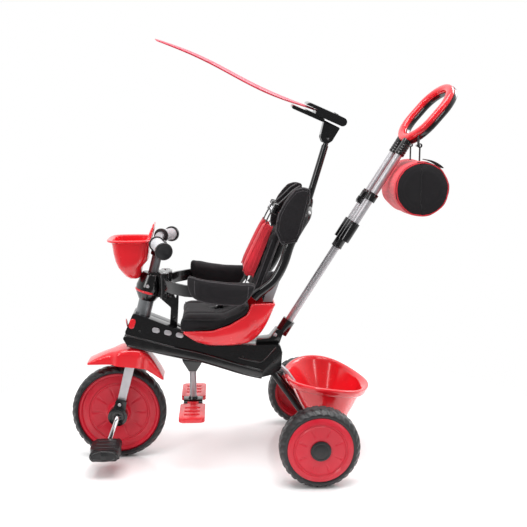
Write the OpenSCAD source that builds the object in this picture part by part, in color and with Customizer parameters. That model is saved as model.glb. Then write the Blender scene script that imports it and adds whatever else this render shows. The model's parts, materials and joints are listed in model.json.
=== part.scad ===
// Child's push-along tricycle, in millimetres.
// X points forward, Y to the rider's left and Z up. The origin is on the floor, in the middle of
// the whole object's box. Side-view sizes are measured from the foot of the front axle.

/* [Wheels] */
// Radius of the front tyre
front_r = 125; // [120:1:130]
// Width of the front tyre
front_tyre_w = 44; // [36:1:46]
// Radius of the rear tyres
rear_r = 100; // [96:1:102]
// Width of a rear tyre
rear_tyre_w = 56; // [48:1:58]
// Distance between the front and rear axles
wheelbase = 512; // [508:1:520]
// Distance from the centre line to the middle of a rear wheel
rear_y = 218; // [214:1:224]
// Radius of the front and rear axle rods
axle_r = 6; // [5:0.5:6]

/* [Steering] */
// Lean of the steering axis from vertical
rake = 14.5; // [13.5:0.25:15]
// Radius of the steering column
column_r = 12.7; // [11:0.1:13]
// Half of the handlebar, from the centre line to a grip's end
bar_half = 173; // [150:1:180]
// Radius of a grip
grip_r = 16; // [14:0.5:17]

/* [Pedals] */
// Length of a crank
crank_len = 67; // [60:1:70]
// Angle of the left crank, forward of straight down
crank_angle = 20; // [0:1:360]
// Width of a pedal across the tricycle
pedal_w = 88; // [70:1:90]

/* [Frame and seat] */
// Half of the frame shell's width
shell_half = 38; // [36:1:40]
// Wall of the frame shell
shell_wall = 3.5; // [2.5:0.5:4]
// Half of the seat tub's width
seat_half = 112; // [106:1:114]

/* [Push bar] */
// Lean of the push bar from vertical
bar_lean = 32.2; // [31:0.1:33]
// How far the push bar is turned in its socket
bar_turn = 9.5; // [0:0.5:12]
// Radius of the fixed tube
bar_r = 10; // [9:0.5:10]
// Radius of the two sliding tubes
twin_r = 9.5; // [8:0.5:9.5]
// Distance between the two sliding tubes
twin_gap = 42.6; // [42:0.2:46]

/* [Canopy] */
// Rise of the canopy towards the front
canopy_rise = 23.4; // [15:0.2:28]
// Sideways lean of the canopy on its bracket
canopy_roll = 5; // [0:0.5:6]
// Length of the canopy sheet in front of its clamp
canopy_len = 404; // [360:2:420]
// Half of the canopy's width
canopy_half = 155; // [130:1:165]

/* [Hidden] */
$fn = 48;

// Places along X of the object's ends give the origin's distance behind the front axle
front_x = 379.65;
run = 0.05;          // radial clearance of a running fit
touch = 0.3;         // gap between pieces on different bodies

// Steering, in the steering frame: distances along the steering axis from the axle
crown_s = 150;
crown_h = 18;
tube_s0 = 196;
tube_s1 = 320;
tube_r = 19.5;
bush_r = 16;
bush_len = 20;
collar_s1 = 386;
column_top = 452;

leg_y = 38;
leg_t = 10;
clip_y = 42;
clip_t = 21;

// Guard ring
guard_pin = [-128, 34];
guard_z0 = 438;
guard_z1 = 504;
ear_h = 12;
pin_r = 4;

// Footrest
foot_x = -197;
foot_pin_y = 22;
foot_pin_z = 146;
foot_pin_r = 3;

// Push bar: its foot, and distances along it
bar_foot = [-432.6, 0, 333];
socket_len = 42;
coupler_t0 = 273;
coupler_t1 = 298;
coupler_t2 = 354;
clamp_t0 = 421;
clamp_t1 = 443;
sleeve_t0 = 560;
sleeve_t1 = 600;
block_r = 14;
loop_lean = 9;       // further lean of the handle loop
loop_half = 66;      // half of the loop's width at the middle of its section
loop_straight = 34;  // straight part of the loop's sides
loop_w = 25;         // section in the loop's plane
loop_front = 17;     // section in front of the loop's middle plane
loop_back = 14;      // section behind it

// Bag
bag_c = [-774, 0, 721];
bag_r = 68;
bag_half = 95;
strap_y = 50;
bag_pin_z = 829;
bag_pin_r = 3;

// Canopy
canopy_pivot = [-551, 0, 846];
hub_front = [-492, 0, 932];
hub_len = 113;
sheet_t = 4;
wire_r = 2.5;

// ---- Helpers ----

function unit(v) = v / norm(v);
function flat(p) = [p.x, p.y];

// Points of an arc of radius r in the corner p between its neighbours a and b
function corner(a, p, b, r, n = 6) =
    let (u = unit(a - p), v = unit(b - p), half = acos(u * v) / 2,
         c = p + unit(u + v) * r / sin(half),
         s = p + u * r / tan(half) - c,
         e = p + v * r / tan(half) - c,
         a0 = atan2(s.y, s.x), d = atan2(e.y, e.x) - a0,
         turn = d > 180 ? d - 360 : (d < -180 ? d + 360 : d))
    [for (i = [0:n]) c + r * [cos(a0 + turn * i / n), sin(a0 + turn * i / n)]];

// An outline from corners [x, y, radius]
function rounded(p) =
    let (n = len(p))
    [for (i = [0:n - 1])
        each p[i].z == 0 ? [flat(p[i])]
            : corner(flat(p[(i + n - 1) % n]), flat(p[i]), flat(p[(i + 1) % n]), p[i].z)];

// A plate in side view, w wide, centred on y
module side_plate(outline, w, y = 0)
    translate([0, y + w / 2, 0]) rotate([90, 0, 0]) linear_extrude(w) polygon(outline);

// A plate seen from above, between two heights
module level_plate(outline, z0, z1)
    translate([0, 0, z0]) linear_extrude(z1 - z0) polygon(outline);

// A round bar from a to b
module rod(a, b, r) {
    v = b - a;
    translate(a) rotate([0, acos(v.z / norm(v)), atan2(v.y, v.x)]) cylinder(h = norm(v), r = r);
}

// A bar that follows a list of points, with a ball at each corner
module bent_rod(p, r) {
    for (i = [0:len(p) - 2]) rod(p[i], p[i + 1], r);
    for (i = [1:len(p) - 2]) translate(p[i]) sphere(1.04 * r);
}

// A short bar along Y, centred on y
module y_bar(r, w, y = 0) translate([0, y + w / 2, 0]) rotate([90, 0, 0]) cylinder(h = w, r = r);

// The points beside a plan path, d to its left
function beside(p, d) = [for (i = [0:len(p) - 1])
    let (m = len(p) - 1,
        out = unit(p[min(i + 1, m)] - p[min(i, m - 1)]),
        in = unit(p[max(i, 1)] - p[max(i - 1, 0)]),
        n = out + in)
    p[i] + 2 * d / (n * n) * [-n.y, n.x]];

// A flat strip on edge along a list of plan points, t thick, between two heights
module strip(p, t, z0, z1) {
    right = beside(p, -t / 2);
    level_plate(concat(beside(p, t / 2), [for (i = [len(p) - 1:-1:0]) right[i]]), z0, z1);
}

module ahead() translate([front_x, 0, 0]) children();
module steer_frame() translate([0, 0, front_r]) rotate([0, -rake, 0]) children();
module bar_frame() translate(bar_foot) rotate([0, -bar_lean, 0]) rotate([0, 0, bar_turn]) children();
module canopy_frame() translate(hub_front) rotate([0, -canopy_rise, 0]) rotate([-canopy_roll, 0, 0]) children();
module both_sides() { children(); mirror([0, 1, 0]) children(); }

function on_steer(s, y = 0) = [-s * sin(rake), y, front_r + s * cos(rake)];

// ---- Frame ----

beam_start = on_steer(215);
beam_end = [-412, 0, 250];
axle_pos = [-wheelbase, 0, rear_r];

module stays(r) both_sides() rod([-396, 8, 247.6], axle_pos + [9, 58, 4], r);

module steel_frame() color("dimgray") ahead() {
    difference() {
        rod(beam_start, beam_end, 12);
        steer_frame() translate([0, 0, tube_s0]) cylinder(h = tube_s1 - tube_s0, r = tube_r);
    }
    difference() {
        union() {
            stays(8);
            translate(axle_pos) y_bar(14, 2 * 183);
        }
        translate(axle_pos) y_bar(axle_r, 400);
    }
}

module head_tube() color("darkgray") ahead() steer_frame() translate([0, 0, tube_s0])
    difference() {
        cylinder(h = tube_s1 - tube_s0, r = tube_r);
        translate([0, 0, -1]) cylinder(h = tube_s1 - tube_s0 + 2, r = bush_r);
    }

module head_bushes() color("ivory") ahead() steer_frame()
    for (s = [tube_s0, tube_s1 - bush_len]) translate([0, 0, s]) difference() {
        cylinder(h = bush_len, r = bush_r);
        translate([0, 0, -1]) cylinder(h = bush_len + 2, r = column_r + run);
    }

// Corners of the shell in side view: the top from front to back, then the bottom back to front
shell_top = [[-46, 400, 6], [-92, 383, 0], [-150, 359, 0], [-195, 335, 0], [-235, 310, 12]];
shell_end = [[-428, 310, 8], [-434, 290, 4], [-431, 244, 8], [-409, 229, 8], [-380, 222, 6]];
shell_bottom = [[-324, 236, 0], [-224, 269, 0], [-168, 281, 0], [-33, 315, 6], [-24, 350, 4]];
shell_cavity = [[-30, 349], [-52, 394], [-94, 377], [-152, 353], [-196, 330], [-238, 305], [-425, 305],
    [-429, 290], [-426, 247], [-408, 235], [-381, 228], [-322, 242], [-223, 275], [-167, 287], [-37, 319]];
shell_band = [[-16, 338, 5], [-30, 312, 6], [-168, 278, 0], [-224, 266, 0], [-324, 233, 0], [-379, 219, 5],
    [-384, 240, 5], [-324, 257, 0], [-224, 289, 0], [-150, 307, 0], [-36, 340, 3]];
band_step = 4;

// The left half of the shell: an outer skin, a raised band along its bottom edge and a hollow
module shell_half_part() difference() {
    union() {
        side_plate(rounded(concat(shell_top, shell_end, shell_bottom)), shell_half, shell_half / 2);
        side_plate(rounded(shell_band), shell_half + band_step, (shell_half + band_step) / 2);
    }
    side_plate(shell_cavity, 2 * (shell_half - shell_wall), 0);
    steer_frame() translate([0, 0, 150]) cylinder(h = 160, r = tube_r);
    stays(9);
}

module shell_left() color([0.06, 0.06, 0.07]) ahead() shell_half_part();
module shell_right() color([0.06, 0.06, 0.07]) ahead() mirror([0, 1, 0]) shell_half_part();

// Housing on top of the head tube that carries the guard ring
hub_box = [-108, -146, 22];
module collar_body() steer_frame() rotate_extrude()
    polygon(rounded([[0, tube_s1 - 6, 0], [22, tube_s1 - 6, 0], [34, 334, 4], [35, 350, 4], [27, collar_s1, 5], [0, collar_s1, 0]]));

module collar() color([0.08, 0.08, 0.09]) ahead() difference() {
    union() {
        collar_body();
        translate([hub_box.y, -hub_box.z, guard_z0]) cube([hub_box.x - hub_box.y + 20, 2 * hub_box.z, guard_z1 - guard_z0]);
        both_sides() for (z = [guard_z0, guard_z1 - ear_h]) {
            translate([guard_pin.x, guard_pin.y, z]) cylinder(h = ear_h, r = 12);
            translate([guard_pin.x - 12, 0, z]) cube([24, guard_pin.y, ear_h]);
        }
    }
    steer_frame() translate([0, 0, tube_s1]) cylinder(h = 100, r = column_r + 0.8);
    steer_frame() translate([0, 0, tube_s1 - 40]) cylinder(h = 40, r = tube_r);
    both_sides() translate([guard_pin.x, guard_pin.y, 400]) cylinder(h = 200, r = pin_r);
}

module crotch_post() color([0.08, 0.08, 0.09]) ahead() difference() {
    side_plate(rounded([[-139, 363.6, 0], [-142, 408, 8], [-118, 430, 4], [-118, guard_z0, 0],
        [hub_box.y, guard_z0, 0], [hub_box.y, 454, 0], [-164, 454, 3], [-158, 354.8, 0], [-150, 359, 0]]), 22);
    side_plate([[-149.5, 447], [-158.5, 447], [-154.5, 430]], 30);
}

// ---- Seat ----

seat_rim = [[-178, 363, 4], [-251, 364, 0], [-297, 379, 0], [-342, 406, 0], [-352, 434, 0]];
module seat_shell() color("crimson") ahead() difference() {
    union() {
        side_plate(rounded(concat(seat_rim,
            [[-411, 434, 4], [-388, 374, 30], [-352, 324, 40], [-300, 321, 0], [-222, 322, 24]])), 2 * seat_half);
        side_plate([[-245, 310], [-245, 330], [-350, 330], [-350, 310]], 70);
    }
    side_plate(rounded([[-186, 368, 0], [-226, 328, 20], [-300, 327, 0], [-349, 330, 36], [-382, 377, 30],
        [-403, 434, 0], [-403, 480, 0], [-186, 480, 0]]), 2 * seat_half - 10);
}

module back_panel() color("lightgray") ahead() difference() {
    side_plate([[-404, 435], [-422, 486], [-398, 486], [-380, 435]], 166);
    side_plate([[-400, 430], [-418, 490], [-390, 490], [-370, 430]], 158);
}

frame_bar_y = 99;
frame_top = [-498, 0, 668];
frame_path = [[-362, frame_bar_y, 444.6], [-372, frame_bar_y, 464], [-398, frame_bar_y, 484], [-418, frame_bar_y, 508],
    [-433, frame_bar_y, 540], [-446, frame_bar_y, 584], [-494, frame_bar_y, 652], frame_top];
module back_frame() color([0.1, 0.1, 0.11]) ahead() {
    both_sides() bent_rod(frame_path, 10);
    translate(frame_top) sphere(10.4);
}

module seat_cushion() color([0.16, 0.16, 0.17]) ahead()
    side_plate(rounded([[-163, 366, 10], [-179, 364.5, 0], [-251, 365.5, 0], [-296.5, 380.5, 0], [-341, 407, 0],
        [-351.5, 436, 4], [-337, 446, 8], [-318, 420, 20], [-280, 401, 20], [-163, 403, 14]]), 2 * seat_half + 4);

module back_cushion() color([0.16, 0.16, 0.17]) ahead()
    side_plate(rounded([[-344, 449, 8], [-371, 449, 8], [-436, 620, 6], [-408, 622, 6]]), 174);

// Headrest with a side wing on each end
wing = [[-406, 620, 14], [-412, 662, 30], [-430, 696, 30], [-456, 726, 12], [-478, 732, 6], [-498, 727, 6], [-495, 690, 20],
    [-475, 612, 10], [-464, 588, 8], [-424, 582, 8]];
module headrest() color([0.16, 0.16, 0.17]) ahead() difference() {
    union() {
        side_plate(rounded([[-437, 624, 6], [-462, 624, 6], [-488, 712, 6], [-468, 716, 8]]), 178);
        both_sides() side_plate(rounded(wing), 26, 102);
    }
    both_sides() bent_rod(frame_path, 11);
}

module harness_pads() color("crimson") ahead() both_sides()
    side_plate(rounded([[-386, 634, 6], [-334, 518, 8], [-339, 496, 6], [-353, 504, 6], [-403, 626, 6]]), 46, 48);

// ---- Canopy post, footrest, push bar socket, rear basket, axle, pins ----

post_dir = unit(canopy_pivot - frame_top);
module canopy_post() color([0.08, 0.08, 0.09]) ahead() difference() {
    union() {
        rod(frame_top + 10 * post_dir, canopy_pivot - 18 * post_dir, 9);
        rod(canopy_pivot - 22 * post_dir, canopy_pivot, 6.9);
        translate(canopy_pivot) y_bar(10, 14);
    }
    translate(frame_top) sphere(10);
    translate(canopy_pivot) y_bar(pin_r, 40);
}

module footrest_bracket() color([0.08, 0.08, 0.09]) ahead() difference() {
    side_plate(rounded([[-168, 278, 0], [-224, 266, 0], [-219, 254, 6], [-207, 235, 3], [-187, 235, 3], [-171, 262, 6]]), 34);
    translate([foot_x, 0, 150]) cylinder(h = 112, r = 9);
}

module footrest_tube() color("silver") ahead() translate([foot_x, 0, 157]) cylinder(h = 105, r = 9);

module footrest_hub() color([0.08, 0.08, 0.09]) ahead() difference() {
    union() {
        translate([foot_x - 25, -14, 136]) cube([50, 28, 20]);
        translate([foot_x, 0, 156]) cylinder(h = 6, r1 = 14, r2 = 11);
        both_sides() for (x = [-25, 15]) translate([foot_x + x, 0, 0]) {
            translate([0, foot_pin_y, foot_pin_z]) rotate([0, 90, 0]) cylinder(h = 10, r = 7);
            translate([0, 10, foot_pin_z - 7]) cube([10, foot_pin_y - 10, 14]);
        }
    }
    translate([foot_x, 0, 157]) cylinder(h = 20, r = 9);
    both_sides() translate([foot_x - 40, foot_pin_y, foot_pin_z]) rotate([0, 90, 0]) cylinder(h = 80, r = foot_pin_r);
}

module bar_socket() color([0.08, 0.08, 0.09]) ahead() difference() {
    union() {
        bar_frame() cylinder(h = socket_len, r = 17);
        side_plate(rounded([[-366, 310.2, 0], [-366, 320, 4], [-402, 324, 10], [-420, 347, 4], [-440, 344, 0],
            [-428, 310.2, 0]]), 40);
    }
    bar_frame() translate([0, 0, 2]) cylinder(h = socket_len, r = bar_r + run);
}

// Rear basket: an oval tub whose rim is arched along its length
basket_c = [-556, 0];
basket_a = 112;
basket_b = 158;
basket_floor = [58, 98];
basket_z = rear_r + 14.5;
basket_top = 226;
rim_arch_r = 370;
rim_arch_c = [-508, basket_top - rim_arch_r];
rim_lip = 10;
rim_h = 20;
tub_wall = 3;

// An oval's points in plan, about the basket's middle
function oval(a, b) = [for (i = [0:47]) [basket_c.x + a * cos(7.5 * i), b * sin(7.5 * i)]];

module tub(inset, z0) hull() {
    level_plate(oval(basket_floor.x - inset, basket_floor.y - inset), z0, z0 + 0.5);
    level_plate(oval(basket_a - inset, basket_b - inset), 239, 240);
}

module bracket_plate() side_plate([[-424, 232], [-424, 238], [-437, 235], [-472, 196], [-470, 190], [-436, 229]], 18);

module rear_basket() color("red") ahead() difference() {
    union() {
        intersection() {
            tub(0, basket_z);
            translate([rim_arch_c.x, 0, rim_arch_c.y]) y_bar(rim_arch_r, 400);
        }
        intersection() {
            level_plate(oval(basket_a + rim_lip, basket_b + rim_lip), 150, 240);
            translate([rim_arch_c.x, 0, rim_arch_c.y]) difference() {
                y_bar(rim_arch_r, 400);
                y_bar(rim_arch_r - rim_h, 402);
            }
        }
    }
    tub(tub_wall, basket_z + tub_wall);
    bracket_plate();
    stays(8.5);
}

module basket_bracket() color("gray") ahead()
    bracket_plate();

module rear_axle() color("silver") ahead() translate(axle_pos) y_bar(axle_r, 2 * (rear_y + rear_tyre_w / 2));

module frame_pins() color("silver") ahead() {
    translate(canopy_pivot) y_bar(pin_r, 36);
    both_sides() translate([guard_pin.x, guard_pin.y, guard_z0]) cylinder(h = guard_z1 - guard_z0 + 1, r = pin_r);
    both_sides() translate([foot_x - 25.5, foot_pin_y, foot_pin_z]) rotate([0, 90, 0]) cylinder(h = 51, r = foot_pin_r);
}

// ---- Steering ----

module steering_column() color("darkgray") ahead() steer_frame()
    translate([0, 0, crown_s + crown_h]) cylinder(h = column_top - crown_s - crown_h, r = column_r);

module fork() color("silver") ahead() steer_frame() {
    translate([-16, -leg_y - leg_t / 2, crown_s]) cube([32, 2 * leg_y + leg_t, crown_h]);
    both_sides() side_plate([[-10.5, 18], [10.5, 18], [12.5, crown_s], [-12.5, crown_s]], leg_t, leg_y);
}

// Fender: a curved sheet with side skirts and a wider saddle over the fork
fender_outer = [[77, 262, 0], [76, 270, 3], [30, 288, 60], [-14, 303, 20], [-64, 303, 20], [-86, 284, 40], [-104, 256, 40],
    [-122, 221, 4]];
fender_edge = [[-116, 217, 0], [-60, 254, 30], [-10, 259, 0], [30, 262, 30]];
fender_inner = [[90, 258], [73, 266.5], [30, 284.5], [-12, 299.5], [-62, 299.5], [-83, 281], [-101, 254], [-120, 214],
    [-100, 200], [90, 200]];
module fender() color("red") ahead() difference() {
    union() {
        side_plate(rounded(concat(fender_outer, fender_edge)), 66);
        side_plate(rounded([[2, 258, 8], [-6, 302, 8], [-62, 297, 8], [-72, 250, 8]]), 94);
    }
    side_plate(fender_inner, 60);
    steer_frame() {
        translate([-20, -44, 100]) cube([40, 88, crown_s + crown_h - 99.5]);
        cylinder(h = 300, r = column_r + 0.5);
    }
}

bar_path = [[-137, -bar_half + 6, 580.5], [-112, -72, 587], [-110, -36, 578], [-110, 36, 578], [-112, 72, 587],
    [-137, bar_half - 6, 580.5]];
module handlebar() color("darkgray") ahead() difference() {
    union() {
        bent_rod(bar_path, 11);
        steer_frame() translate([0, 0, 436]) cylinder(h = 40, r = 17);
    }
    steer_frame() translate([0, 0, 430]) cylinder(h = column_top - 430, r = column_r);
}

grip_in = [-113.5, 78, 586.6];
grip_out = [-138.5, bar_half, 580.1];
module grips() color("gainsboro") ahead() both_sides() difference() {
    axis = unit(grip_out - grip_in);
    union() {
        rod(grip_in, grip_out, grip_r);
        rod(grip_in, grip_in + 6 * axis, grip_r + 3);
        rod(grip_out - 9 * axis, grip_out, grip_r + 5.4);
    }
    bent_rod(concat([for (i = [4:5]) bar_path[i]]), 11);
    translate(bar_path[4]) sphere(1.04 * 11);
}

// Front basket: a tub with a raised back and a rim
module front_basket() color("red") ahead() difference() {
    union() {
        side_plate(rounded([[6, 590, 0], [-1, 532, 20], [-28, 494, 24], [-56, 486, 12], [-66, 504, 6], [-70, 522, 6],
            [-88, 527, 6], [-92, 590, 0]]), 120);
        level_plate(rounded([[17, -50, 22], [17, 50, 22], [-10, 71, 22], [-96, 71, 10], [-96, -71, 10], [-10, -71, 22]]),
            585, 591);
        side_plate(rounded([[-88, 585, 0], [-96, 585, 0], [-107, 626, 4], [-96, 632, 5]]), 84);
    }
    side_plate(rounded([[3, 596, 0], [-4, 533, 20], [-30, 497, 22], [-54, 490, 10], [-63, 506, 0], [-68, 525, 0],
        [-85, 530, 0], [-89, 596, 0]]), 114);
    bent_rod(bar_path, 11.6);
}

module dropout_clips() color([0.08, 0.08, 0.09]) ahead() both_sides() difference() {
    union() {
        translate([0, 0, front_r]) y_bar(25, clip_t, clip_y);
        steer_frame() side_plate(rounded([[-17, 0, 0], [17, 0, 0], [14, 46, 6], [-14, 46, 6]]), clip_t - 2, clip_y - 1);
    }
    translate([0, 0, front_r]) y_bar(axle_r + run, 200);
    steer_frame() side_plate([[-10.5, 18], [10.5, 18], [12.5, crown_s], [-12.5, crown_s]], leg_t, leg_y);
}

// ---- Wheels and pedals ----

// A tyre's ring about the Y axis at the origin
module tyre(r, inner, w) rotate([90, 0, 0]) rotate_extrude($fn = 96)
    polygon(rounded([[inner, -w / 2 + 2, 2], [r - 6, -w / 2, 4], [r, -w / 4, 8], [r, w / 4, 8], [r - 6, w / 2, 4],
        [inner, w / 2 - 2, 2]]));

// Half a wheel's outline, from the bore to the rim: hub, dished disc with a groove, rim
front_rim = 109;
module front_wheel() color("crimson") ahead() translate([0, 0, front_r]) rotate([90, 0, 0]) rotate_extrude($fn = 96)
    polygon([[axle_r, -28], [26, -28], [32, -15], [88, -13], [92, -10], [97, -10], [100, -13.5], [front_rim, -14],
        [front_rim, 14], [100, 13.5], [97, 10], [92, 10], [88, 13], [32, 15], [26, 28], [axle_r, 28]]);

module front_tyre() color([0.1, 0.1, 0.1]) ahead() translate([0, 0, front_r]) tyre(front_r, front_rim, front_tyre_w);

crank_v = crank_len * [sin(crank_angle), 0, -cos(crank_angle)];
pedal_y0 = 75;
module crank_axle() color("silver") ahead() translate([0, 0, front_r]) {
    y_bar(axle_r, 124);
    for (s = [-1, 1]) {
        rod([0, s * 62, 0], s * (crank_v + [0, 66, 0]), axle_r);
        for (p = [[0, 62, 0], crank_v + [0, 66, 0]]) translate(s * p) sphere(axle_r + 1);
        translate(s * crank_v) y_bar(axle_r, pedal_y0 + pedal_w - 66, s * (pedal_y0 + pedal_w + 66) / 2);
    }
}

// An oval pedal with its bore
module pedal() difference() {
    union() {
        translate([-21, pedal_y0, -13]) cube([42, pedal_w, 26]);
        intersection() {
            for (x = [-21, 21]) translate([x, 0, 0]) y_bar(15, pedal_w, pedal_y0 + pedal_w / 2);
            translate([-50, pedal_y0, -13]) cube([100, pedal_w, 26]);
        }
        translate([0, 0, 0]) intersection() {
            translate([0, pedal_y0 + pedal_w / 2, -15]) cylinder(h = 30, r = 43);
            translate([-36, pedal_y0 + 4, -15]) cube([72, pedal_w - 8, 30]);
        }
    }
    y_bar(axle_r + run, 400);
}

module pedal_left() color([0.1, 0.1, 0.1]) ahead() translate([0, 0, front_r] + crank_v) pedal();
module pedal_right() color([0.1, 0.1, 0.1]) ahead() translate([0, 0, front_r] - crank_v) mirror([0, 1, 0]) pedal();

rear_rim = 81;
module rear_tyre() translate([-wheelbase, rear_y, rear_r]) tyre(rear_r, rear_rim, rear_tyre_w);
module rear_tyre_left() color([0.1, 0.1, 0.1]) ahead() rear_tyre();
module rear_tyre_right() color([0.1, 0.1, 0.1]) ahead() mirror([0, 1, 0]) rear_tyre();

// The rear wheel's outline, with -y the outer side
module rear_wheel() translate([-wheelbase, rear_y, rear_r]) rotate([90, 0, 0]) rotate_extrude($fn = 96)
    polygon([[axle_r + run, -30], [26, -30], [30, -31], [60, -30], [64, -27], [69, -27], [72, -29], [rear_rim, -26],
        [rear_rim, 20], [74, 20], [72, -18], [24, -16], [20, 31], [axle_r + run, 31]]);
module rear_wheel_left() color("crimson") ahead() rear_wheel();
module rear_wheel_right() color("crimson") ahead() mirror([0, 1, 0]) rear_wheel();

module rear_cap() translate([-wheelbase, rear_y + 30, rear_r]) rotate([-90, 0, 0]) rotate_extrude()
    polygon(rounded([[0, 0, 0], [25, 0, 0], [25, 5, 2], [0, 7, 0]]));
module rear_cap_left() color([0.1, 0.1, 0.1]) ahead() rear_cap();
module rear_cap_right() color([0.1, 0.1, 0.1]) ahead() mirror([0, 1, 0]) rear_cap();

// ---- Push bar, in its own frame: Z along the bar, X forward, Y left ----

twin_y = [-twin_gap / 2, twin_gap / 2];

module lower_bar() color("silver") ahead() bar_frame() translate([0, 0, 3]) cylinder(h = clamp_t1 - 3, r = bar_r);

module bar_clamp() color([0.08, 0.08, 0.09]) ahead() bar_frame() difference() {
    union() {
        for (y = [0, each twin_y]) translate([0, y, clamp_t0]) cylinder(h = clamp_t1 - clamp_t0, r = block_r);
        translate([-9, -twin_gap / 2, clamp_t0]) cube([18, twin_gap, clamp_t1 - clamp_t0]);
        translate([10, -7, clamp_t0 - 20]) cube([11, 14, 36]);
    }
    translate([0, 0, clamp_t0 - 1]) cylinder(h = 60, r = bar_r);
    for (y = twin_y) translate([0, y, clamp_t0 - 1]) cylinder(h = 60, r = twin_r + run);
    translate([0, 0, clamp_t0 - 30]) cylinder(h = 30, r = block_r + 0.5);
    translate([17, -5, clamp_t0 - 16]) cube([10, 10, 14]);
}

module height_button() color([0.2, 0.2, 0.2]) ahead() bar_frame()
    translate([19.2, -5 + touch, clamp_t0 - 16 + touch]) cube([4.5, 10 - 2 * touch, 14 - 2 * touch]);

module twin_tubes() color("silver") ahead() bar_frame()
    for (y = twin_y) translate([0, y, coupler_t1 + 4]) cylinder(h = sleeve_t1 - coupler_t1 - 8, r = twin_r);

module coupler() color([0.08, 0.08, 0.09]) ahead() bar_frame() difference() {
    union() {
        translate([0, 0, coupler_t0]) cylinder(h = coupler_t2 - coupler_t0, r = block_r);
        for (y = twin_y) translate([0, y, coupler_t1]) cylinder(h = coupler_t2 - coupler_t1, r = block_r);
        translate([-9, -twin_gap / 2, coupler_t1]) cube([18, twin_gap, coupler_t2 - coupler_t1]);
        translate([-18, -8, coupler_t1 + 4]) cube([8, 16, 34]);
    }
    translate([0, 0, coupler_t0 - 1]) cylinder(h = 100, r = bar_r + run);
    for (y = twin_y) translate([0, y, coupler_t1 + 4]) cylinder(h = 100, r = twin_r);
}

// The handle's loop: in its own frame Z runs up the loop and X is its front
module loop_frame() bar_frame() translate([0, 0, sleeve_t1 + 6]) rotate([0, -loop_lean, 0]) children();

// One part of the loop between two distances from its middle plane
module loop_part(x0, x1, w) translate([x0, 0, loop_half]) {
    section = [[loop_half - w / 2, 0], [loop_half + w / 2, 0], [loop_half + w / 2, x1 - x0], [loop_half - w / 2, x1 - x0]];
    rotate([0, 90, 0]) rotate([0, 0, -90]) rotate_extrude(angle = 180, $fn = 72) polygon(section);
    translate([0, 0, loop_straight]) rotate([0, 90, 0]) rotate([0, 0, 90]) rotate_extrude(angle = 180, $fn = 72)
        polygon(section);
    for (y = [-loop_half - w / 2, loop_half - w / 2]) translate([0, y, 0]) cube([x1 - x0, w, loop_straight]);
}

// Lugs under the loop that carry the bag's pins
module bag_lugs() for (s = [-1, 1]) {
    translate([bag_c.x, 0, bag_pin_z]) y_bar(bag_pin_r, 20, s * (strap_y + 5));
    rod([bag_c.x, s * (strap_y + 12), bag_pin_z], [bag_c.x + 3 - s * 5, s * (strap_y + 6), bag_pin_z + 27], bag_pin_r);
}

module handle_loop() color([0.08, 0.08, 0.09]) ahead() difference() {
    union() {
        loop_frame() loop_part(-loop_back, 0, loop_w);
        bar_frame() for (y = twin_y) translate([0, y, sleeve_t0]) cylinder(h = sleeve_t1 - sleeve_t0 + 4, r = 12.5);
        bag_lugs();
    }
    bar_frame() for (y = twin_y) translate([0, y, sleeve_t0 - 1]) cylinder(h = sleeve_t1 - sleeve_t0 - 3, r = twin_r);
    loop_frame() translate([0, -100, -50]) cube([60, 200, 300]);
}

module handle_grip() color("red") ahead() difference() {
    loop_frame() loop_part(0, loop_front, loop_w);
    bar_frame() for (y = twin_y) translate([0, y, sleeve_t0 - 1]) cylinder(h = sleeve_t1 - sleeve_t0 - 3, r = 12.6);
}

// ---- Bag ----

module bag_body() color("red") ahead() translate(bag_c) rotate([90, 0, 0]) rotate_extrude()
    polygon(rounded([[0, -bag_half, 0], [bag_r, -bag_half, 5], [bag_r, bag_half, 5], [0, bag_half, 0]]));

module bag_straps() color([0.1, 0.1, 0.1]) ahead() both_sides() difference() {
    union() {
        translate([bag_c.x, strap_y, bag_pin_z]) rotate([90, 0, 0]) translate([0, 0, -4]) cylinder(h = 8, r = 5);
        translate([bag_c.x - 1.5, strap_y - 5, bag_c.z + bag_r - 0.5]) cube([3, 10, bag_pin_z - bag_c.z - bag_r - 3]);
    }
    translate([bag_c.x, strap_y, bag_pin_z]) y_bar(bag_pin_r + run, 30);
    translate(bag_c) y_bar(bag_r, 400);
}

// ---- Canopy ----

module canopy_bracket() color([0.08, 0.08, 0.09]) ahead() difference() {
    side_plate(rounded([[-531, 851, 4], [-541, 893, 3], [-582, 873, 3], [-562, 840, 5], [-551, 833, 8], [-536, 838, 6]]), 32);
    translate(canopy_pivot) y_bar(14, 14.6);
    side_plate([[-551, 846], [-575, 820], [-540, 820], [-520, 840], [-524, 862]], 14.6);
    translate(canopy_pivot) y_bar(pin_r + run, 60);
}

// A flat bar with round ends along the canopy frame's X, centred on y and z
module pad(x0, x1, z, h, w) translate([0, w / 2, z]) rotate([90, 0, 0]) {
    translate([x0 + h / 2, -h / 2, 0]) cube([x1 - x0 - h, h, w]);
    for (x = [x0 + h / 2, x1 - h / 2]) translate([x, 0, 0]) cylinder(h = w, d = h);
}

module canopy_hub() color([0.08, 0.08, 0.09]) ahead() canopy_frame() difference() {
    union() {
        pad(-hub_len, 0, 0, 22, 90);
        pad(-60, 30, -16, 9, 70);
        translate([-56, -30, -16]) cube([30, 60, 12]);
    }
    translate([-30, -canopy_half, -9]) cube([60, 2 * canopy_half, 11.8]);
}

// The sheet's rise above a straight line, as it bows along its length
function bow(x) = -5 * sin(360 * x / canopy_len);
sheet_x = [for (i = [0:16]) -28 + (canopy_len + 28) * i / 16];

function sheet_plan(inset) = rounded([[-29, -75, 0], [-29, 75, 0], [12, 100, 20], [60, canopy_half - inset, 40],
    [250, canopy_half - 10 - inset, 90], [canopy_len - inset, 105, 60], [canopy_len + 6 - inset, 0, 300],
    [canopy_len - inset, -105, 60], [250, -canopy_half + 10 + inset, 90], [60, -canopy_half + inset, 40], [12, -100, 20]]);

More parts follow.
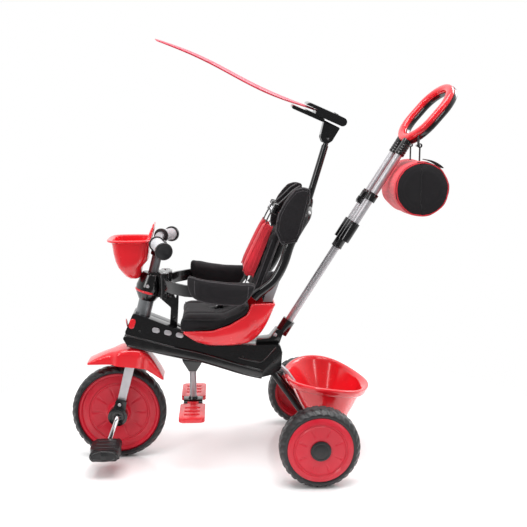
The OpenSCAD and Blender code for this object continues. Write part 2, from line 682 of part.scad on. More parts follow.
module canopy_fabric() color([1, 0.45, 0.45]) ahead() canopy_frame() intersection() {
    side_plate(concat([for (x = sheet_x) [x, bow(x) - sheet_t]],
        [for (i = [16:-1:0]) [sheet_x[i], bow(sheet_x[i])]]), 2 * canopy_half + 20);
    level_plate(sheet_plan(0), -30, 30);
}

module canopy_hoop() color([0.3, 0.3, 0.3]) ahead() canopy_frame() intersection() {
    side_plate(concat([for (x = sheet_x) [x, bow(x) - sheet_t - 2 * wire_r]],
        [for (i = [16:-1:0]) [sheet_x[i], bow(sheet_x[i]) - sheet_t]]), 2 * canopy_half + 20);
    difference() {
        level_plate(sheet_plan(8), -30, 30);
        level_plate(sheet_plan(8 + 2 * wire_r), -31, 31);
    }
}

// ---- Guard ring ----

guard_path = [guard_pin, [-152, 82], [-186, 118], [-216, 131], [-346, 135]];
module guard_arm() difference() {
    union() {
        strip(guard_path, 8, 459, 488);
        translate([guard_pin.x, guard_pin.y, guard_z0 + ear_h + touch])
            cylinder(h = guard_z1 - guard_z0 - 2 * ear_h - 2 * touch, r = 11);
    }
    translate([guard_pin.x, guard_pin.y, 400]) cylinder(h = 200, r = pin_r + run);
}
module guard_arm_left() color([0.08, 0.08, 0.09]) ahead() guard_arm();
module guard_arm_right() color([0.08, 0.08, 0.09]) ahead() mirror([0, 1, 0]) guard_arm();

sleeve_side = [[-194, 516, 4], [-187, 480, 8], [-208, 452, 20], [-262, 437, 20], [-326, 434, 8], [-352, 468, 6],
    [-360, 494, 6], [-290, 500, 40]];
module guard_sleeve() difference() {
    intersection() {
        side_plate(rounded(sleeve_side), 44, 130);
        level_plate(rounded([[-186, 108, 6], [-186, 134, 10], [-216, 149, 30], [-362, 152, 10], [-362, 118, 10], [-216, 114, 30]]),
            430, 520);
    }
    strip(guard_path, 8, 459, 488);
}
module guard_sleeve_left() color([0.16, 0.16, 0.17]) ahead() guard_sleeve();
module guard_sleeve_right() color([0.16, 0.16, 0.17]) ahead() mirror([0, 1, 0]) guard_sleeve();

// ---- Footplates ----

plate_y0 = 30;
plate_y1 = 146;
module footplate() difference() {
    union() {
        level_plate(rounded([[foot_x - 33, plate_y0, 8], [foot_x + 33, plate_y0, 8], [foot_x + 33, plate_y1, 14],
            [foot_x - 33, plate_y1, 14]]), 139, 151);
        translate([foot_x - 15 + touch, foot_pin_y, 139]) cube([30 - 2 * touch, 12, 12]);
        translate([foot_x - 15 + touch, foot_pin_y, foot_pin_z]) rotate([0, 90, 0]) cylinder(h = 30 - 2 * touch, r = 7);
    }
    for (y = [60, 86, 112]) translate([foot_x - 20, y, 130]) cube([40, 9, 30]);
    translate([foot_x - 40, foot_pin_y, foot_pin_z]) rotate([0, 90, 0]) cylinder(h = 80, r = foot_pin_r + run);
}
module footplate_left() color("red") ahead() footplate();
module footplate_right() color("red") ahead() mirror([0, 1, 0]) footplate();

// ---- Drawing ----

steel_frame();
head_tube();
head_bushes();
shell_left();
shell_right();
collar();
crotch_post();
seat_shell();
back_panel();
back_frame();
seat_cushion();
back_cushion();
headrest();
harness_pads();
canopy_post();
footrest_bracket();
footrest_tube();
footrest_hub();
bar_socket();
rear_basket();
basket_bracket();
rear_axle();
frame_pins();
steering_column();
fork();
fender();
handlebar();
grips();
front_basket();
dropout_clips();
front_tyre();
front_wheel();
crank_axle();
pedal_left();
pedal_right();
rear_tyre_left();
rear_tyre_right();
rear_wheel_left();
rear_wheel_right();
rear_cap_left();
rear_cap_right();
lower_bar();
bar_clamp();
height_button();
twin_tubes();
coupler();
handle_loop();
handle_grip();
bag_body();
bag_straps();
canopy_bracket();
canopy_hub();
canopy_hoop();
canopy_fabric();
guard_arm_left();
guard_arm_right();
guard_sleeve_left();
guard_sleeve_right();
footplate_left();
footplate_right();
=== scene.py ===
import json
from math import acos, atan2, cos, exp, pi, radians, sin, sqrt, tan

import bmesh
import bpy
from mathutils import Matrix, Vector


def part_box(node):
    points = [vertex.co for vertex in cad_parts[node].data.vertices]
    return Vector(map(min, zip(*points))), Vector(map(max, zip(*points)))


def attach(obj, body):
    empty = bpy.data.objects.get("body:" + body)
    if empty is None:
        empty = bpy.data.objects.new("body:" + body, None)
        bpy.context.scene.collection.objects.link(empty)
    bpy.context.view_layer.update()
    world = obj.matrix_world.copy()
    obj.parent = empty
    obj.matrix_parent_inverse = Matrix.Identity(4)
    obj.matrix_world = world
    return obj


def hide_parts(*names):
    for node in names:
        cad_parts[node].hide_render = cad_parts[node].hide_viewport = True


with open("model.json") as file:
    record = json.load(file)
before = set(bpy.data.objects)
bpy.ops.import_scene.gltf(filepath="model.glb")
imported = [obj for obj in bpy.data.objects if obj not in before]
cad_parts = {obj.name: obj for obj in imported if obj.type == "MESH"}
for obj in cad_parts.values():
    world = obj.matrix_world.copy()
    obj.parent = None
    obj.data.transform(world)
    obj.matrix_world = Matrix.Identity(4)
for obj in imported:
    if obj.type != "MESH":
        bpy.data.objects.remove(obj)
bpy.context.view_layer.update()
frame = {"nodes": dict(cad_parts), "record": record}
scene = bpy.context.scene
MM = 0.001
UP = Vector((0, 0, 1))
LEFT_RIGHT = ((1, "left"), (-1, "right"))
RIGHT_LEFT = ((-1, "right"), (1, "left"))
PEG_Z = 829  # height of the pegs that the bag hangs on, in millimetres


def middle(node):
    """The middle of a CAD node's box."""
    low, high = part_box(node)
    return (low + high) / 2


FRONT_AXLE = middle("front_wheel")
REAR_AXLE = middle("rear_axle")
FRONT_R = (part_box("front_tyre")[1].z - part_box("front_tyre")[0].z) / 2
REAR_R = (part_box("rear_tyre_left")[1].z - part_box("rear_tyre_left")[0].z) / 2


def angles(count):
    """Angles in equal steps once round a circle."""
    return [2 * pi * k / count for k in range(count)]


def at(x, y, z):
    """A point from millimetres, measured from the foot of the front axle."""
    return Vector((FRONT_AXLE.x + x * MM, y * MM, z * MM))


RAKE = radians(14.5)
STEERING_AXIS = Vector((-sin(RAKE), 0, cos(RAKE)))


def on_steering(distance):
    """A point on the steering axis, in metres from the front axle's height."""
    return at(0, 0, 125) + STEERING_AXIS * distance


# ---- Camera, light and floor ----


def add_camera():
    """The photograph's viewpoint: from the left side, a little above."""
    turn, height, distance, focal_px, image_px = radians(3.2), radians(9.4), 2.127, 807.6, 527
    target = at(-386.4, 0, 521.2)
    back = Vector((sin(turn) * cos(height), cos(turn) * cos(height), sin(height)))
    data = bpy.data.cameras.new("camera")
    data.sensor_width = 36
    data.lens = focal_px / image_px * data.sensor_width
    data.clip_end = 50
    camera = bpy.data.objects.new("camera", data)
    scene.collection.objects.link(camera)
    camera.location = target + distance * back
    camera.rotation_euler = (-back).to_track_quat("-Z", "Y").to_euler()
    scene.camera = camera


def add_light(name, place, target, size, watts):
    data = bpy.data.lights.new(name, "AREA")
    data.shape = "RECTANGLE"
    data.size, data.size_y = size
    data.energy = watts
    light = bpy.data.objects.new(name, data)
    scene.collection.objects.link(light)
    light.location = place
    light.rotation_euler = (Vector(target) - Vector(place)).to_track_quat("-Z", "Y").to_euler()


def add_studio():
    """A pale floor, a white surround and four soft lights."""
    world = bpy.data.worlds.new("studio")
    world.use_nodes = True
    tree = world.node_tree
    way = tree.nodes.new("ShaderNodeTexCoord")
    parts = tree.nodes.new("ShaderNodeSeparateXYZ")
    tree.links.new(way.outputs["Generated"], parts.inputs[0])
    tree.links.new(ramp(tree, parts.outputs["Y"], grey(1.0), grey(0.22), -0.1, 0.75),
        tree.nodes["Background"].inputs["Color"])
    tree.nodes["Background"].inputs["Strength"].default_value = 1.0
    scene.world = world
    add_light("top", (0.1, 0.5, 2.9), (0, 0, 0.4), (2.6, 1.6), 75)
    add_light("key", (1.9, 2.0, 1.7), (0, 0, 0.4), (0.7, 1.5), 22)
    add_light("rim", (-2.0, -1.2, 1.9), (0, 0, 0.5), (1.2, 1.4), 30)
    add_light("strip", (-1.7, 2.1, 1.1), (-0.1, 0, 0.5), (0.35, 1.5), 9)
    scene.view_settings.view_transform = "Standard"
    floor = build("floor", [(-15, -15, 0), (15, -15, 0), (15, 15, 0), (-15, 15, 0)], [(0, 1, 2, 3)])
    floor.data.materials.append(floor_material())


# ---- Materials ----


def new_material(name):
    material = bpy.data.materials.new(name)
    material.use_nodes = True
    tree = material.node_tree
    return material, tree, tree.nodes["Principled BSDF"]


def node(tree, kind, **values):
    made = tree.nodes.new(kind)
    for key, value in values.items():
        setattr(made, key, value)
    return made


def mapped(tree, scale=(1, 1, 1), turn=(0, 0, 0)):
    """Object coordinates, scaled and turned."""
    where = node(tree, "ShaderNodeTexCoord")
    mapping = node(tree, "ShaderNodeMapping")
    mapping.inputs["Scale"].default_value = scale
    mapping.inputs["Rotation"].default_value = turn
    tree.links.new(where.outputs["Object"], mapping.inputs["Vector"])
    return mapping.outputs["Vector"]


def noise_of(tree, scale, detail=2.0, vector=None):
    made = node(tree, "ShaderNodeTexNoise")
    made.inputs["Scale"].default_value = scale
    made.inputs["Detail"].default_value = detail
    tree.links.new(vector or mapped(tree), made.inputs["Vector"])
    return made.outputs["Fac"]


def ramp(tree, value, low, high, start=0.3, end=0.7):
    """Two colours or grey levels, chosen by a texture's value."""
    made = node(tree, "ShaderNodeValToRGB")
    made.color_ramp.elements[0].position = start
    made.color_ramp.elements[1].position = end
    made.color_ramp.elements[0].color = low if len(low) == 4 else (*low, 1)
    made.color_ramp.elements[1].color = high if len(high) == 4 else (*high, 1)
    tree.links.new(value, made.inputs["Fac"])
    return made.outputs["Color"]


def grey(level):
    return (level, level, level)


def bump_of(tree, shader, height, strength, distance, under=None):
    made = node(tree, "ShaderNodeBump")
    made.inputs["Strength"].default_value = strength
    made.inputs["Distance"].default_value = distance
    tree.links.new(height, made.inputs["Height"])
    if under:
        tree.links.new(under, made.inputs["Normal"])
    tree.links.new(made.outputs["Normal"], shader.inputs["Normal"])
    return made.outputs["Normal"]


def tint(colour, factor):
    return tuple(min(1, c * factor) for c in colour)


def plastic(name, colour, rough=0.25, coat=0.3, grain=0.00006, spread=0.12):
    """Moulded plastic: slight colour drift, uneven gloss, fine surface texture and faint scuffs."""
    material, tree, shader = new_material(name)
    drift = noise_of(tree, 9, 3)
    tree.links.new(ramp(tree, drift, tint(colour, 1 - spread), tint(colour, 1 + spread)),
        shader.inputs["Base Color"])
    scuff = noise_of(tree, 60, 6, mapped(tree, (1, 2.5, 1)))
    tree.links.new(ramp(tree, scuff, grey(rough * 0.75), grey(min(1, rough * 1.5)), 0.35, 0.75),
        shader.inputs["Roughness"])
    shader.inputs["Coat Weight"].default_value = coat
    shader.inputs["Coat Roughness"].default_value = 0.12
    bump_of(tree, shader, noise_of(tree, 700, 2), 0.5, grain)
    return material


def metal(name, colour, rough=0.3, metallic=0.9, brushed=(1, 1, 1)):
    """Metal or metallic paint: fine streaks in colour and gloss."""
    material, tree, shader = new_material(name)
    streak = noise_of(tree, 220, 4, mapped(tree, brushed))
    tree.links.new(ramp(tree, streak, tint(colour, 0.94), tint(colour, 1.06)), shader.inputs["Base Color"])
    tree.links.new(ramp(tree, streak, grey(rough * 0.88), grey(rough * 1.15)), shader.inputs["Roughness"])
    shader.inputs["Metallic"].default_value = metallic
    bump_of(tree, shader, streak, 0.25, 0.00005)
    return material


def weave_height(tree, pitch):
    """Over-and-under threads in three directions, so that every face shows a weave."""
    total = None
    for turn in ((0, 0, 0), (0, 0, pi / 2), (0, pi / 2, 0)):
        wave = node(tree, "ShaderNodeTexWave", wave_type="BANDS", bands_direction="X", wave_profile="SIN")
        wave.inputs["Scale"].default_value = 1 / pitch / 3.18
        wave.inputs["Distortion"].default_value = 0.4
        wave.inputs["Detail"].default_value = 1
        tree.links.new(mapped(tree, (1, 1, 1), turn), wave.inputs["Vector"])
        if total is None:
            total = wave.outputs["Fac"]
        else:
            add = node(tree, "ShaderNodeMath", operation="MULTIPLY")
            tree.links.new(total, add.inputs[0])
            tree.links.new(wave.outputs["Fac"], add.inputs[1])
            total = add.outputs[0]
    return total


def fabric(name, colour, pitch=0.0016, rough=0.85, sheen=0.25, depth=0.00035, wrinkle=0.0016):
    """Woven cloth: threads, soft wrinkles, fading and a little fuzz."""
    material, tree, shader = new_material(name)
    threads = weave_height(tree, pitch)
    fade = noise_of(tree, 14, 4)
    mix = node(tree, "ShaderNodeMath", operation="ADD")
    tree.links.new(threads, mix.inputs[0])
    tree.links.new(fade, mix.inputs[1])
    tree.links.new(ramp(tree, mix.outputs[0], tint(colour, 0.7), tint(colour, 1.45), 0.3, 1.3),
        shader.inputs["Base Color"])
    tree.links.new(ramp(tree, fade, grey(rough * 0.85), grey(min(1, rough * 1.1))),
        shader.inputs["Roughness"])
    shader.inputs["Sheen Weight"].default_value = sheen
    shader.inputs["Sheen Roughness"].default_value = 0.5
    shader.inputs["Specular IOR Level"].default_value = 0.3
    folds = bump_of(tree, shader, noise_of(tree, 28, 3, mapped(tree, (1, 1, 1.6))), 0.6, wrinkle)
    bump_of(tree, shader, threads, 0.6, depth, folds)
    return material


def sheer(name, colour, alpha=0.72):
    """Thin see-through canopy cloth."""
    material, tree, shader = new_material(name)
    threads = weave_height(tree, 0.0014)
    tree.links.new(ramp(tree, noise_of(tree, 10, 3), tint(colour, 0.92), tint(colour, 1.08)),
        shader.inputs["Base Color"])
    tree.links.new(ramp(tree, threads, grey(alpha * 0.9), grey(min(1, alpha * 1.2))), shader.inputs["Alpha"])
    shader.inputs["Roughness"].default_value = 0.6
    shader.inputs["Sheen Weight"].default_value = 0.3
    bump_of(tree, shader, threads, 0.4, 0.0002)
    return material


def tread_rubber(name, colour):
    """Moulded hard tyre: satin, with dust and fine pits."""
    material, tree, shader = new_material(name)
    dust = noise_of(tree, 25, 5)
    tree.links.new(ramp(tree, dust, colour, tint(colour, 2.2), 0.4, 0.8), shader.inputs["Base Color"])
    tree.links.new(ramp(tree, dust, grey(0.3), grey(0.55)), shader.inputs["Roughness"])
    shader.inputs["Coat Weight"].default_value = 0.15
    bump_of(tree, shader, noise_of(tree, 500, 3), 0.5, 0.00012)
    return material


def floor_material():
    material, tree, shader = new_material("floor_white")
    tree.links.new(ramp(tree, noise_of(tree, 3, 2), grey(0.93), grey(0.96)), shader.inputs["Base Color"])
    shader.inputs["Roughness"].default_value = 0.12
    shader.inputs["Specular IOR Level"].default_value = 0.5
    spot = node(tree, "ShaderNodeTexCoord")
    far = node(tree, "ShaderNodeVectorMath", operation="LENGTH")
    tree.links.new(spot.outputs["Object"], far.inputs[0])
    tree.links.new(ramp(tree, far.outputs["Value"], grey(1), grey(0), 0.8, 1.9), shader.inputs["Alpha"])
    return material


MATERIALS = {
    "black_gloss": plastic("black_gloss", (0.004, 0.0038, 0.0045), 0.16, 0.4),
    "black_matt": plastic("black_matt", (0.007, 0.007, 0.008), 0.42, 0.0, 0.00012),
    "tyre_black": tread_rubber("tyre_black", (0.0045, 0.0045, 0.0055)),
    "red_gloss": plastic("red_gloss", (0.80, 0.012, 0.022), 0.2, 0.5),
    "wheel_red": plastic("wheel_red", (0.56, 0.006, 0.024), 0.38, 0.1, 0.0001),
    "grey_plastic": plastic("grey_plastic", (0.42, 0.42, 0.44), 0.45, 0.0, 0.0001),
    "bush_white": plastic("bush_white", (0.8, 0.8, 0.76), 0.5, 0.0),
    "grip_grey": plastic("grip_grey", (0.55, 0.55, 0.57), 0.5, 0.0, 0.0002),
    "steel_dark": metal("steel_dark", (0.012, 0.012, 0.013), 0.3, 0.3),
    "steel_grey": metal("steel_grey", (0.23, 0.24, 0.25), 0.35, 0.6),
    "steel_silver": metal("steel_silver", (0.50, 0.49, 0.51), 0.42, 0.7, (0.3, 0.3, 0.3)),
    "chrome": metal("chrome", (0.8, 0.8, 0.82), 0.12, 1.0),
    "fabric_black": fabric("fabric_black", (0.0075, 0.0062, 0.0078), sheen=0.12),
    "fabric_red": fabric("fabric_red", (0.62, 0.02, 0.035)),
    "piping_grey": fabric("piping_grey", (0.055, 0.05, 0.055), 0.001, 0.8, 0.15, 0.0002, 0.0),
    "webbing_black": fabric("webbing_black", (0.009, 0.009, 0.010), 0.0012, 0.7, 0.12, 0.0004, 0.0),
    "canopy_red": sheer("canopy_red", (0.92, 0.14, 0.2), 0.62),
    "canopy_edge": fabric("canopy_edge", (0.75, 0.06, 0.1), 0.0012, 0.7, 0.3),
}


# ---- Mesh helpers ----


def build(name, points, faces):
    mesh = bpy.data.meshes.new(name)
    mesh.from_pydata([tuple(p) for p in points], [], faces)
    mesh.validate()
    mesh.update()
    made = bpy.data.objects.new(name, mesh)
    scene.collection.objects.link(made)
    return made


def finish_piece(made, body, look, stands_for=(), crease=38):
    """Shades a mesh smooth with crisp edges, gives it its material and puts it on its body."""
    edit = bmesh.new()
    edit.from_mesh(made.data)
    bmesh.ops.recalc_face_normals(edit, faces=edit.faces)
    edit.to_mesh(made.data)
    edit.free()
    made.data.shade_smooth()
    if crease:
        made.data.set_sharp_from_angle(angle=radians(crease))
    made.data.materials.clear()
    made.data.materials.append(MATERIALS[look])
    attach(made, body)
    if stands_for:
        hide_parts(*stands_for)
    return made


def grid(nu, nv, wrap_u=False, wrap_v=False):
    """Quads of a grid of nu rows of nv points."""
    rows = nu if wrap_u else nu - 1
    columns = nv if wrap_v else nv - 1
    return [(i * nv + j, (i + 1) % nu * nv + j, (i + 1) % nu * nv + (j + 1) % nv, i * nv + (j + 1) % nv)
        for i in range(rows) for j in range(columns)]


def loft(name, rings, closed_path=False):
    """Skins a list of rings of points of equal length."""
    nu, nv = len(rings), len(rings[0])
    faces = grid(nu, nv, closed_path, True)
    if not closed_path:
        faces += [tuple(range(nv)), tuple((nu - 1) * nv + j for j in range(nv))]
    return build(name, [p for ring in rings for p in ring], faces)


def curve_through(points, steps=8, closed=False):
    """A smooth curve through points (Catmull-Rom)."""
    points = [Vector(p) for p in points]
    count = len(points)
    out = []
    for i in range(count if closed else count - 1):
        if closed:
            a, b, c, d = (points[(i + k) % count] for k in (-1, 0, 1, 2))
        else:
            a, b, c, d = points[max(i - 1, 0)], points[i], points[i + 1], points[min(i + 2, count - 1)]
        for k in range(steps):
            t = k / steps
            square, cube = 2 * a - 5 * b + 4 * c - d, 3 * b - a - 3 * c + d
            out.append(0.5 * (2 * b + (c - a) * t + square * t * t + cube * t ** 3))
    return out if closed else out + [points[-1]]


def rounded(corners):
    """An outline of (x, z, radius) corners as points, in the order given."""
    out = []
    count = len(corners)
    for i in range(count):
        here = Vector(corners[i][:2])
        radius = corners[i][2]
        if not radius:
            out.append(here)
            continue
        before = (Vector(corners[i - 1][:2]) - here).normalized()
        after = (Vector(corners[(i + 1) % count][:2]) - here).normalized()
        opening = acos(max(-1, min(1, before.dot(after))))
        reach = radius / tan(opening / 2)
        centre = here + (before + after).normalized() * radius / sin(opening / 2)
        first, last = here + before * reach - centre, here + after * reach - centre
        steps = max(2, int((pi - opening) / radians(9)))
        for k in range(steps + 1):
            out.append(centre + first.slerp(last, k / steps) * radius)
    return out


def frames_along(path, up, closed=False):
    """At each point of a path: the point, a side direction and a normal near up."""
    out = []
    count = len(path)
    for i, p in enumerate(path):
        if closed:
            ahead, behind = path[(i + 1) % count], path[i - 1]
        else:
            ahead, behind = path[min(i + 1, count - 1)], path[max(i - 1, 0)]
        way = (Vector(ahead) - Vector(behind)).normalized()
        side = way.cross(Vector(up)).normalized()
        out.append((Vector(p), side, side.cross(way).normalized()))
    return out


def sweep(name, path, section, up=(0, 0, 1), closed=False):
    """Sweeps a closed section of (side, up) offsets along a path."""
    rings = [[p + side * a + rise * b for a, b in section]
        for p, side, rise in frames_along(path, up, closed)]
    return loft(name, rings, closed)


def ring_section(radius, count=16, flat=1.0):
    return [(radius * cos(t), radius * flat * sin(t)) for t in angles(count)]


def tube(name, path, radius, up=(0, 0, 1), closed=False, count=16):
    return sweep(name, path, ring_section(radius, count), up, closed)


def lathe(name, profile, centre, axis, count=96):
    """Turns a closed profile of (along, radius) about an axis through a centre."""
    axis = Vector(axis).normalized()
    side = axis.orthogonal().normalized()
    other = axis.cross(side)
    rings = [[centre + axis * a + (side * cos(t) + other * sin(t)) * r for a, r in profile]
        for t in angles(count)]
    return loft(name, rings, True)


def extrusion(name, points):
    """A closed solid between two copies of an outline, given one after the other."""
    count = len(points) // 2
    sides = [(k, (k + 1) % count, count + (k + 1) % count, count + k) for k in range(count)]
    return build(name, points, sides + [tuple(range(count)), tuple(range(count, 2 * count))])


def prism(name, outline, y0, y1):
    """A side-view outline in millimetres, extruded between two y values."""
    return extrusion(name, [at(x, y, z) for y in (y0, y1) for x, z in outline])


def soften(made, width, segments=3, angle=30):
    """Rounds a mesh's sharp edges and applies it."""
    bevel = made.modifiers.new("edges", "BEVEL")
    bevel.width = width
    bevel.segments = segments
    bevel.limit_method = "ANGLE"
    bevel.angle_limit = radians(angle)
    bevel.use_clamp_overlap = True
    apply_modifiers(made)
    return made


def apply_modifiers(made):
    bpy.context.view_layer.update()
    seen = made.evaluated_get(bpy.context.evaluated_depsgraph_get())
    mesh = bpy.data.meshes.new_from_object(seen)
    made.modifiers.clear()
    made.data = mesh


def refine(made):
    """Subdivides a mesh once."""
    finer = made.modifiers.new("finer", "SUBSURF")
    finer.levels = 1
    finer.render_levels = 1
    apply_modifiers(made)


def thicken(made, thickness):
    """Gives a surface a wall, half on each side."""
    wall = made.modifiers.new("wall", "SOLIDIFY")
    wall.thickness = thickness
    wall.offset = 0
    apply_modifiers(made)


def copy_of(name, *nodes):
    """A new mesh with the shape of some CAD nodes, with its flat faces joined up."""
    edit = bmesh.new()
    for n in nodes:
        edit.from_mesh(frame["nodes"][n].data)
    bmesh.ops.remove_doubles(edit, verts=edit.verts, dist=1e-6)
    bmesh.ops.dissolve_limit(edit, angle_limit=radians(1), verts=edit.verts, edges=edit.edges)
    mesh = bpy.data.meshes.new(name)
    edit.to_mesh(mesh)
    edit.free()
    made = bpy.data.objects.new(name, mesh)
    scene.collection.objects.link(made)
    return made


BODY_OF = {n: b for b, members in frame["record"]["behaviour"]["bodies"].items() for n in members}
LOOK_OF = {s["node"]: s["material_slot"] for s in frame["record"]["subparts"]}


def moulded(cad_node, width=0.0015, look=None, segments=3):
    """A hard part in its CAD shape with rounded edges."""
    made = soften(copy_of(cad_node + "_part", cad_node), width, segments)
    return finish_piece(made, BODY_OF[cad_node], look or LOOK_OF[cad_node], (cad_node,))


def carried(cad_node, look=None):
    """A CAD node that keeps its shape and gets its material."""
    mesh = frame["nodes"][cad_node].data
    mesh.materials.clear()
    mesh.materials.append(MATERIALS[look or LOOK_OF[cad_node]])


def grow(made, cap, voxel=0.005, pressure=4.0, steps=20):
    """Fills a closed shape like a stuffed cover: cloth under pressure, with each point's travel capped."""
    remesh = made.modifiers.new("voxels", "REMESH")
    remesh.mode = "VOXEL"
    remesh.voxel_size = voxel
    apply_modifiers(made)
    start = [v.co.copy() for v in made.data.vertices]
    cloth = made.modifiers.new("cloth", "CLOTH")
    cloth.settings.use_pressure = True
    cloth.settings.uniform_pressure_force = pressure
    cloth.settings.effector_weights.gravity = 0
    cloth.settings.quality = 5
    cloth.settings.tension_stiffness = 10
    cloth.settings.bending_stiffness = 0.5
    cloth.point_cache.frame_start = 1
    cloth.point_cache.frame_end = steps
    for f in range(1, steps + 1):
        scene.frame_set(f)
    seen = made.evaluated_get(bpy.context.evaluated_depsgraph_get())
    moved = [v.co.copy() for v in seen.data.vertices]
    made.modifiers.clear()
    scene.frame_set(1)
    for v, a, b in zip(made.data.vertices, start, moved):
        d = b - a
        v.co = a + d * min(1, cap / max(d.length, 1e-9))
    relax = made.modifiers.new("relax", "SMOOTH")
    relax.iterations = 6
    relax.factor = 0.5
    apply_modifiers(made)
    return made


# ---- Wheels ----


def smooth_step(low, high, value):
    t = max(0, min(1, (value - low) / (high - low)))
    return t * t * (3 - 2 * t)


def tyre(cad_node, radius, rim, width, lugs, body):
    """A moulded tyre with slanting lugs that wrap over its shoulders."""
    centre = middle(cad_node)
    half = width / 2
    outline = rounded([(half - 0.002, rim, 0.0), (half, rim + 0.004, 0.002), (half, radius - 0.009, 0.006),
        (half * 0.55, radius, 0.012), (0, radius + 0.0001, 0.0), (-half * 0.55, radius, 0.012),
        (-half, radius - 0.009, 0.006), (-half, rim + 0.004, 0.002), (-half + 0.002, rim, 0.0)])
    profile = []
    for k, p in enumerate(outline):
        q = outline[(k + 1) % len(outline)]
        parts = max(1, int((q - p).length / 0.003)) if k < len(outline) - 1 else 1
        profile += [p.lerp(q, j / parts) for j in range(parts)]
    count = lugs * 10
    rings = []
    for t in angles(count):
        ring = []
        for y, r in profile:
            across = y / half
            phase = (t * lugs / (2 * pi) + 0.9 * abs(across)) % 1
            groove = 1 - smooth_step(0.12, 0.24, abs(phase - 0.5))
            reach = smooth_step(radius - 0.016, radius - 0.006, r) * smooth_step(0.18, 0.3, abs(across))
            middle_cut = (1 - smooth_step(0.02, 0.06, abs(across))) * smooth_step(radius - 0.004, radius, r)
            deep = 0.0022 * max(groove * reach, middle_cut * 0.6)
            ring.append(centre + Vector(((r - deep) * sin(t), y, (r - deep) * cos(t))))
        rings.append(ring)
    return finish_piece(loft(cad_node + "_tread", rings, True), body, "tyre_black", (cad_node,), 50)


def wheel_disc(cad_node, centre, profile, slots, body):
    """A wheel turned from its profile, with radial embossed marks on its outer face.
    slots is (count, inner radius, outer radius, half width in radians, depth, side).
    Side 0 marks both faces."""
    number, inner, outer, spread, depth, side = slots
    count = 192
    rings = []
    for t in angles(count):
        off = abs((t * number / (2 * pi)) % 1 - 0.5) * 2 * pi / number
        line = 1 - smooth_step(spread * 0.6, spread, off)
        ring = []
        for y, r in profile:
            inside = smooth_step(inner, inner + 0.003, r) * (1 - smooth_step(outer - 0.003, outer, r))
            face = 1 if side * y > 0 or side == 0 else 0
            dent = depth * line * inside * face
            ring.append(centre + Vector((r * sin(t), y - dent * (1 if y > 0 else -1), r * cos(t))))
        rings.append(ring)
    return finish_piece(loft(cad_node + "_disc", rings, True), body, "wheel_red", (cad_node,), 32)


def stepped(points, step=0.003):
    """Adds points between the corners of a closed profile."""
    out = []
    for k, p in enumerate(points):
        a, b = Vector(p), Vector(points[(k + 1) % len(points)])
        parts = max(1, int((b - a).length / step))
        out += [a.lerp(b, j / parts) for j in range(parts)]
    return out


def front_wheel_profile():
    half = [(0.028, 0.006), (0.028, 0.024), (0.0265, 0.0265), (0.016, 0.031), (0.0145, 0.036),
        (0.0135, 0.060),
        (0.0135, 0.074), (0.0115, 0.0755), (0.0115, 0.079), (0.0135, 0.0805), (0.0130, 0.087),
        (0.0105, 0.0915),
        (0.0105, 0.0965), (0.0150, 0.1000), (0.0160, 0.1045), (0.0140, 0.1085)]
    return stepped(half + [(-y, r) for y, r in reversed(half)])


def rear_wheel_profile(side):
    """Outer face first; side is +1 for the left wheel."""
    face = [(0.031, 0.006), (0.031, 0.0255), (0.0315, 0.030), (0.0308, 0.060), (0.0285, 0.0625),
        (0.0285, 0.0655),
        (0.0308, 0.068), (0.0305, 0.0735), (0.0295, 0.0765), (0.027, 0.0808), (-0.020, 0.0808),
        (-0.020, 0.075),
        (0.017, 0.071), (0.015, 0.026), (-0.030, 0.020), (-0.031, 0.018), (-0.031, 0.006)]
    return stepped([(side * y, r) for y, r in face])


def rear_cap(side, body, cad_node):
    start = REAR_AXLE + Vector((0, middle(cad_node).y - 0.0035 * side, 0)) - Vector((0, REAR_AXLE.y, 0))
    profile = [(0, 0.0001), (0, 0.0245), (0.0022, 0.0254), (0.0048, 0.0247), (0.006, 0.0225),
        (0.0062, 0.0205),
        (0.0055, 0.0195), (0.0056, 0.018), (0.0064, 0.0165), (0.0070, 0.009), (0.0071, 0.0001)]
    made = lathe(cad_node + "_dome", profile, start, (0, side, 0))
    return finish_piece(made, body, "black_matt", (cad_node,), 40)


def make_wheels():
    front = FRONT_AXLE.copy()
    tyre("front_tyre", FRONT_R, 0.1085, 0.0435, 34, "front_wheel_set")
    wheel_disc("front_wheel", front, front_wheel_profile(), (10, 0.040, 0.072, 0.05, 0.0012, 0),
        "front_wheel_set")
    for side, word in LEFT_RIGHT:
        body = word + "_rear_wheel"
        tyre("rear_tyre_" + word, REAR_R, 0.0805, 0.0555, 30, body)
        hub = Vector((REAR_AXLE.x, middle("rear_tyre_" + word).y, REAR_AXLE.z))
        wheel_disc("rear_wheel_" + word, hub, rear_wheel_profile(side),
            (8, 0.038, 0.058, 0.055, 0.0011, side), body)
        rear_cap(side, body, "rear_cap_" + word)


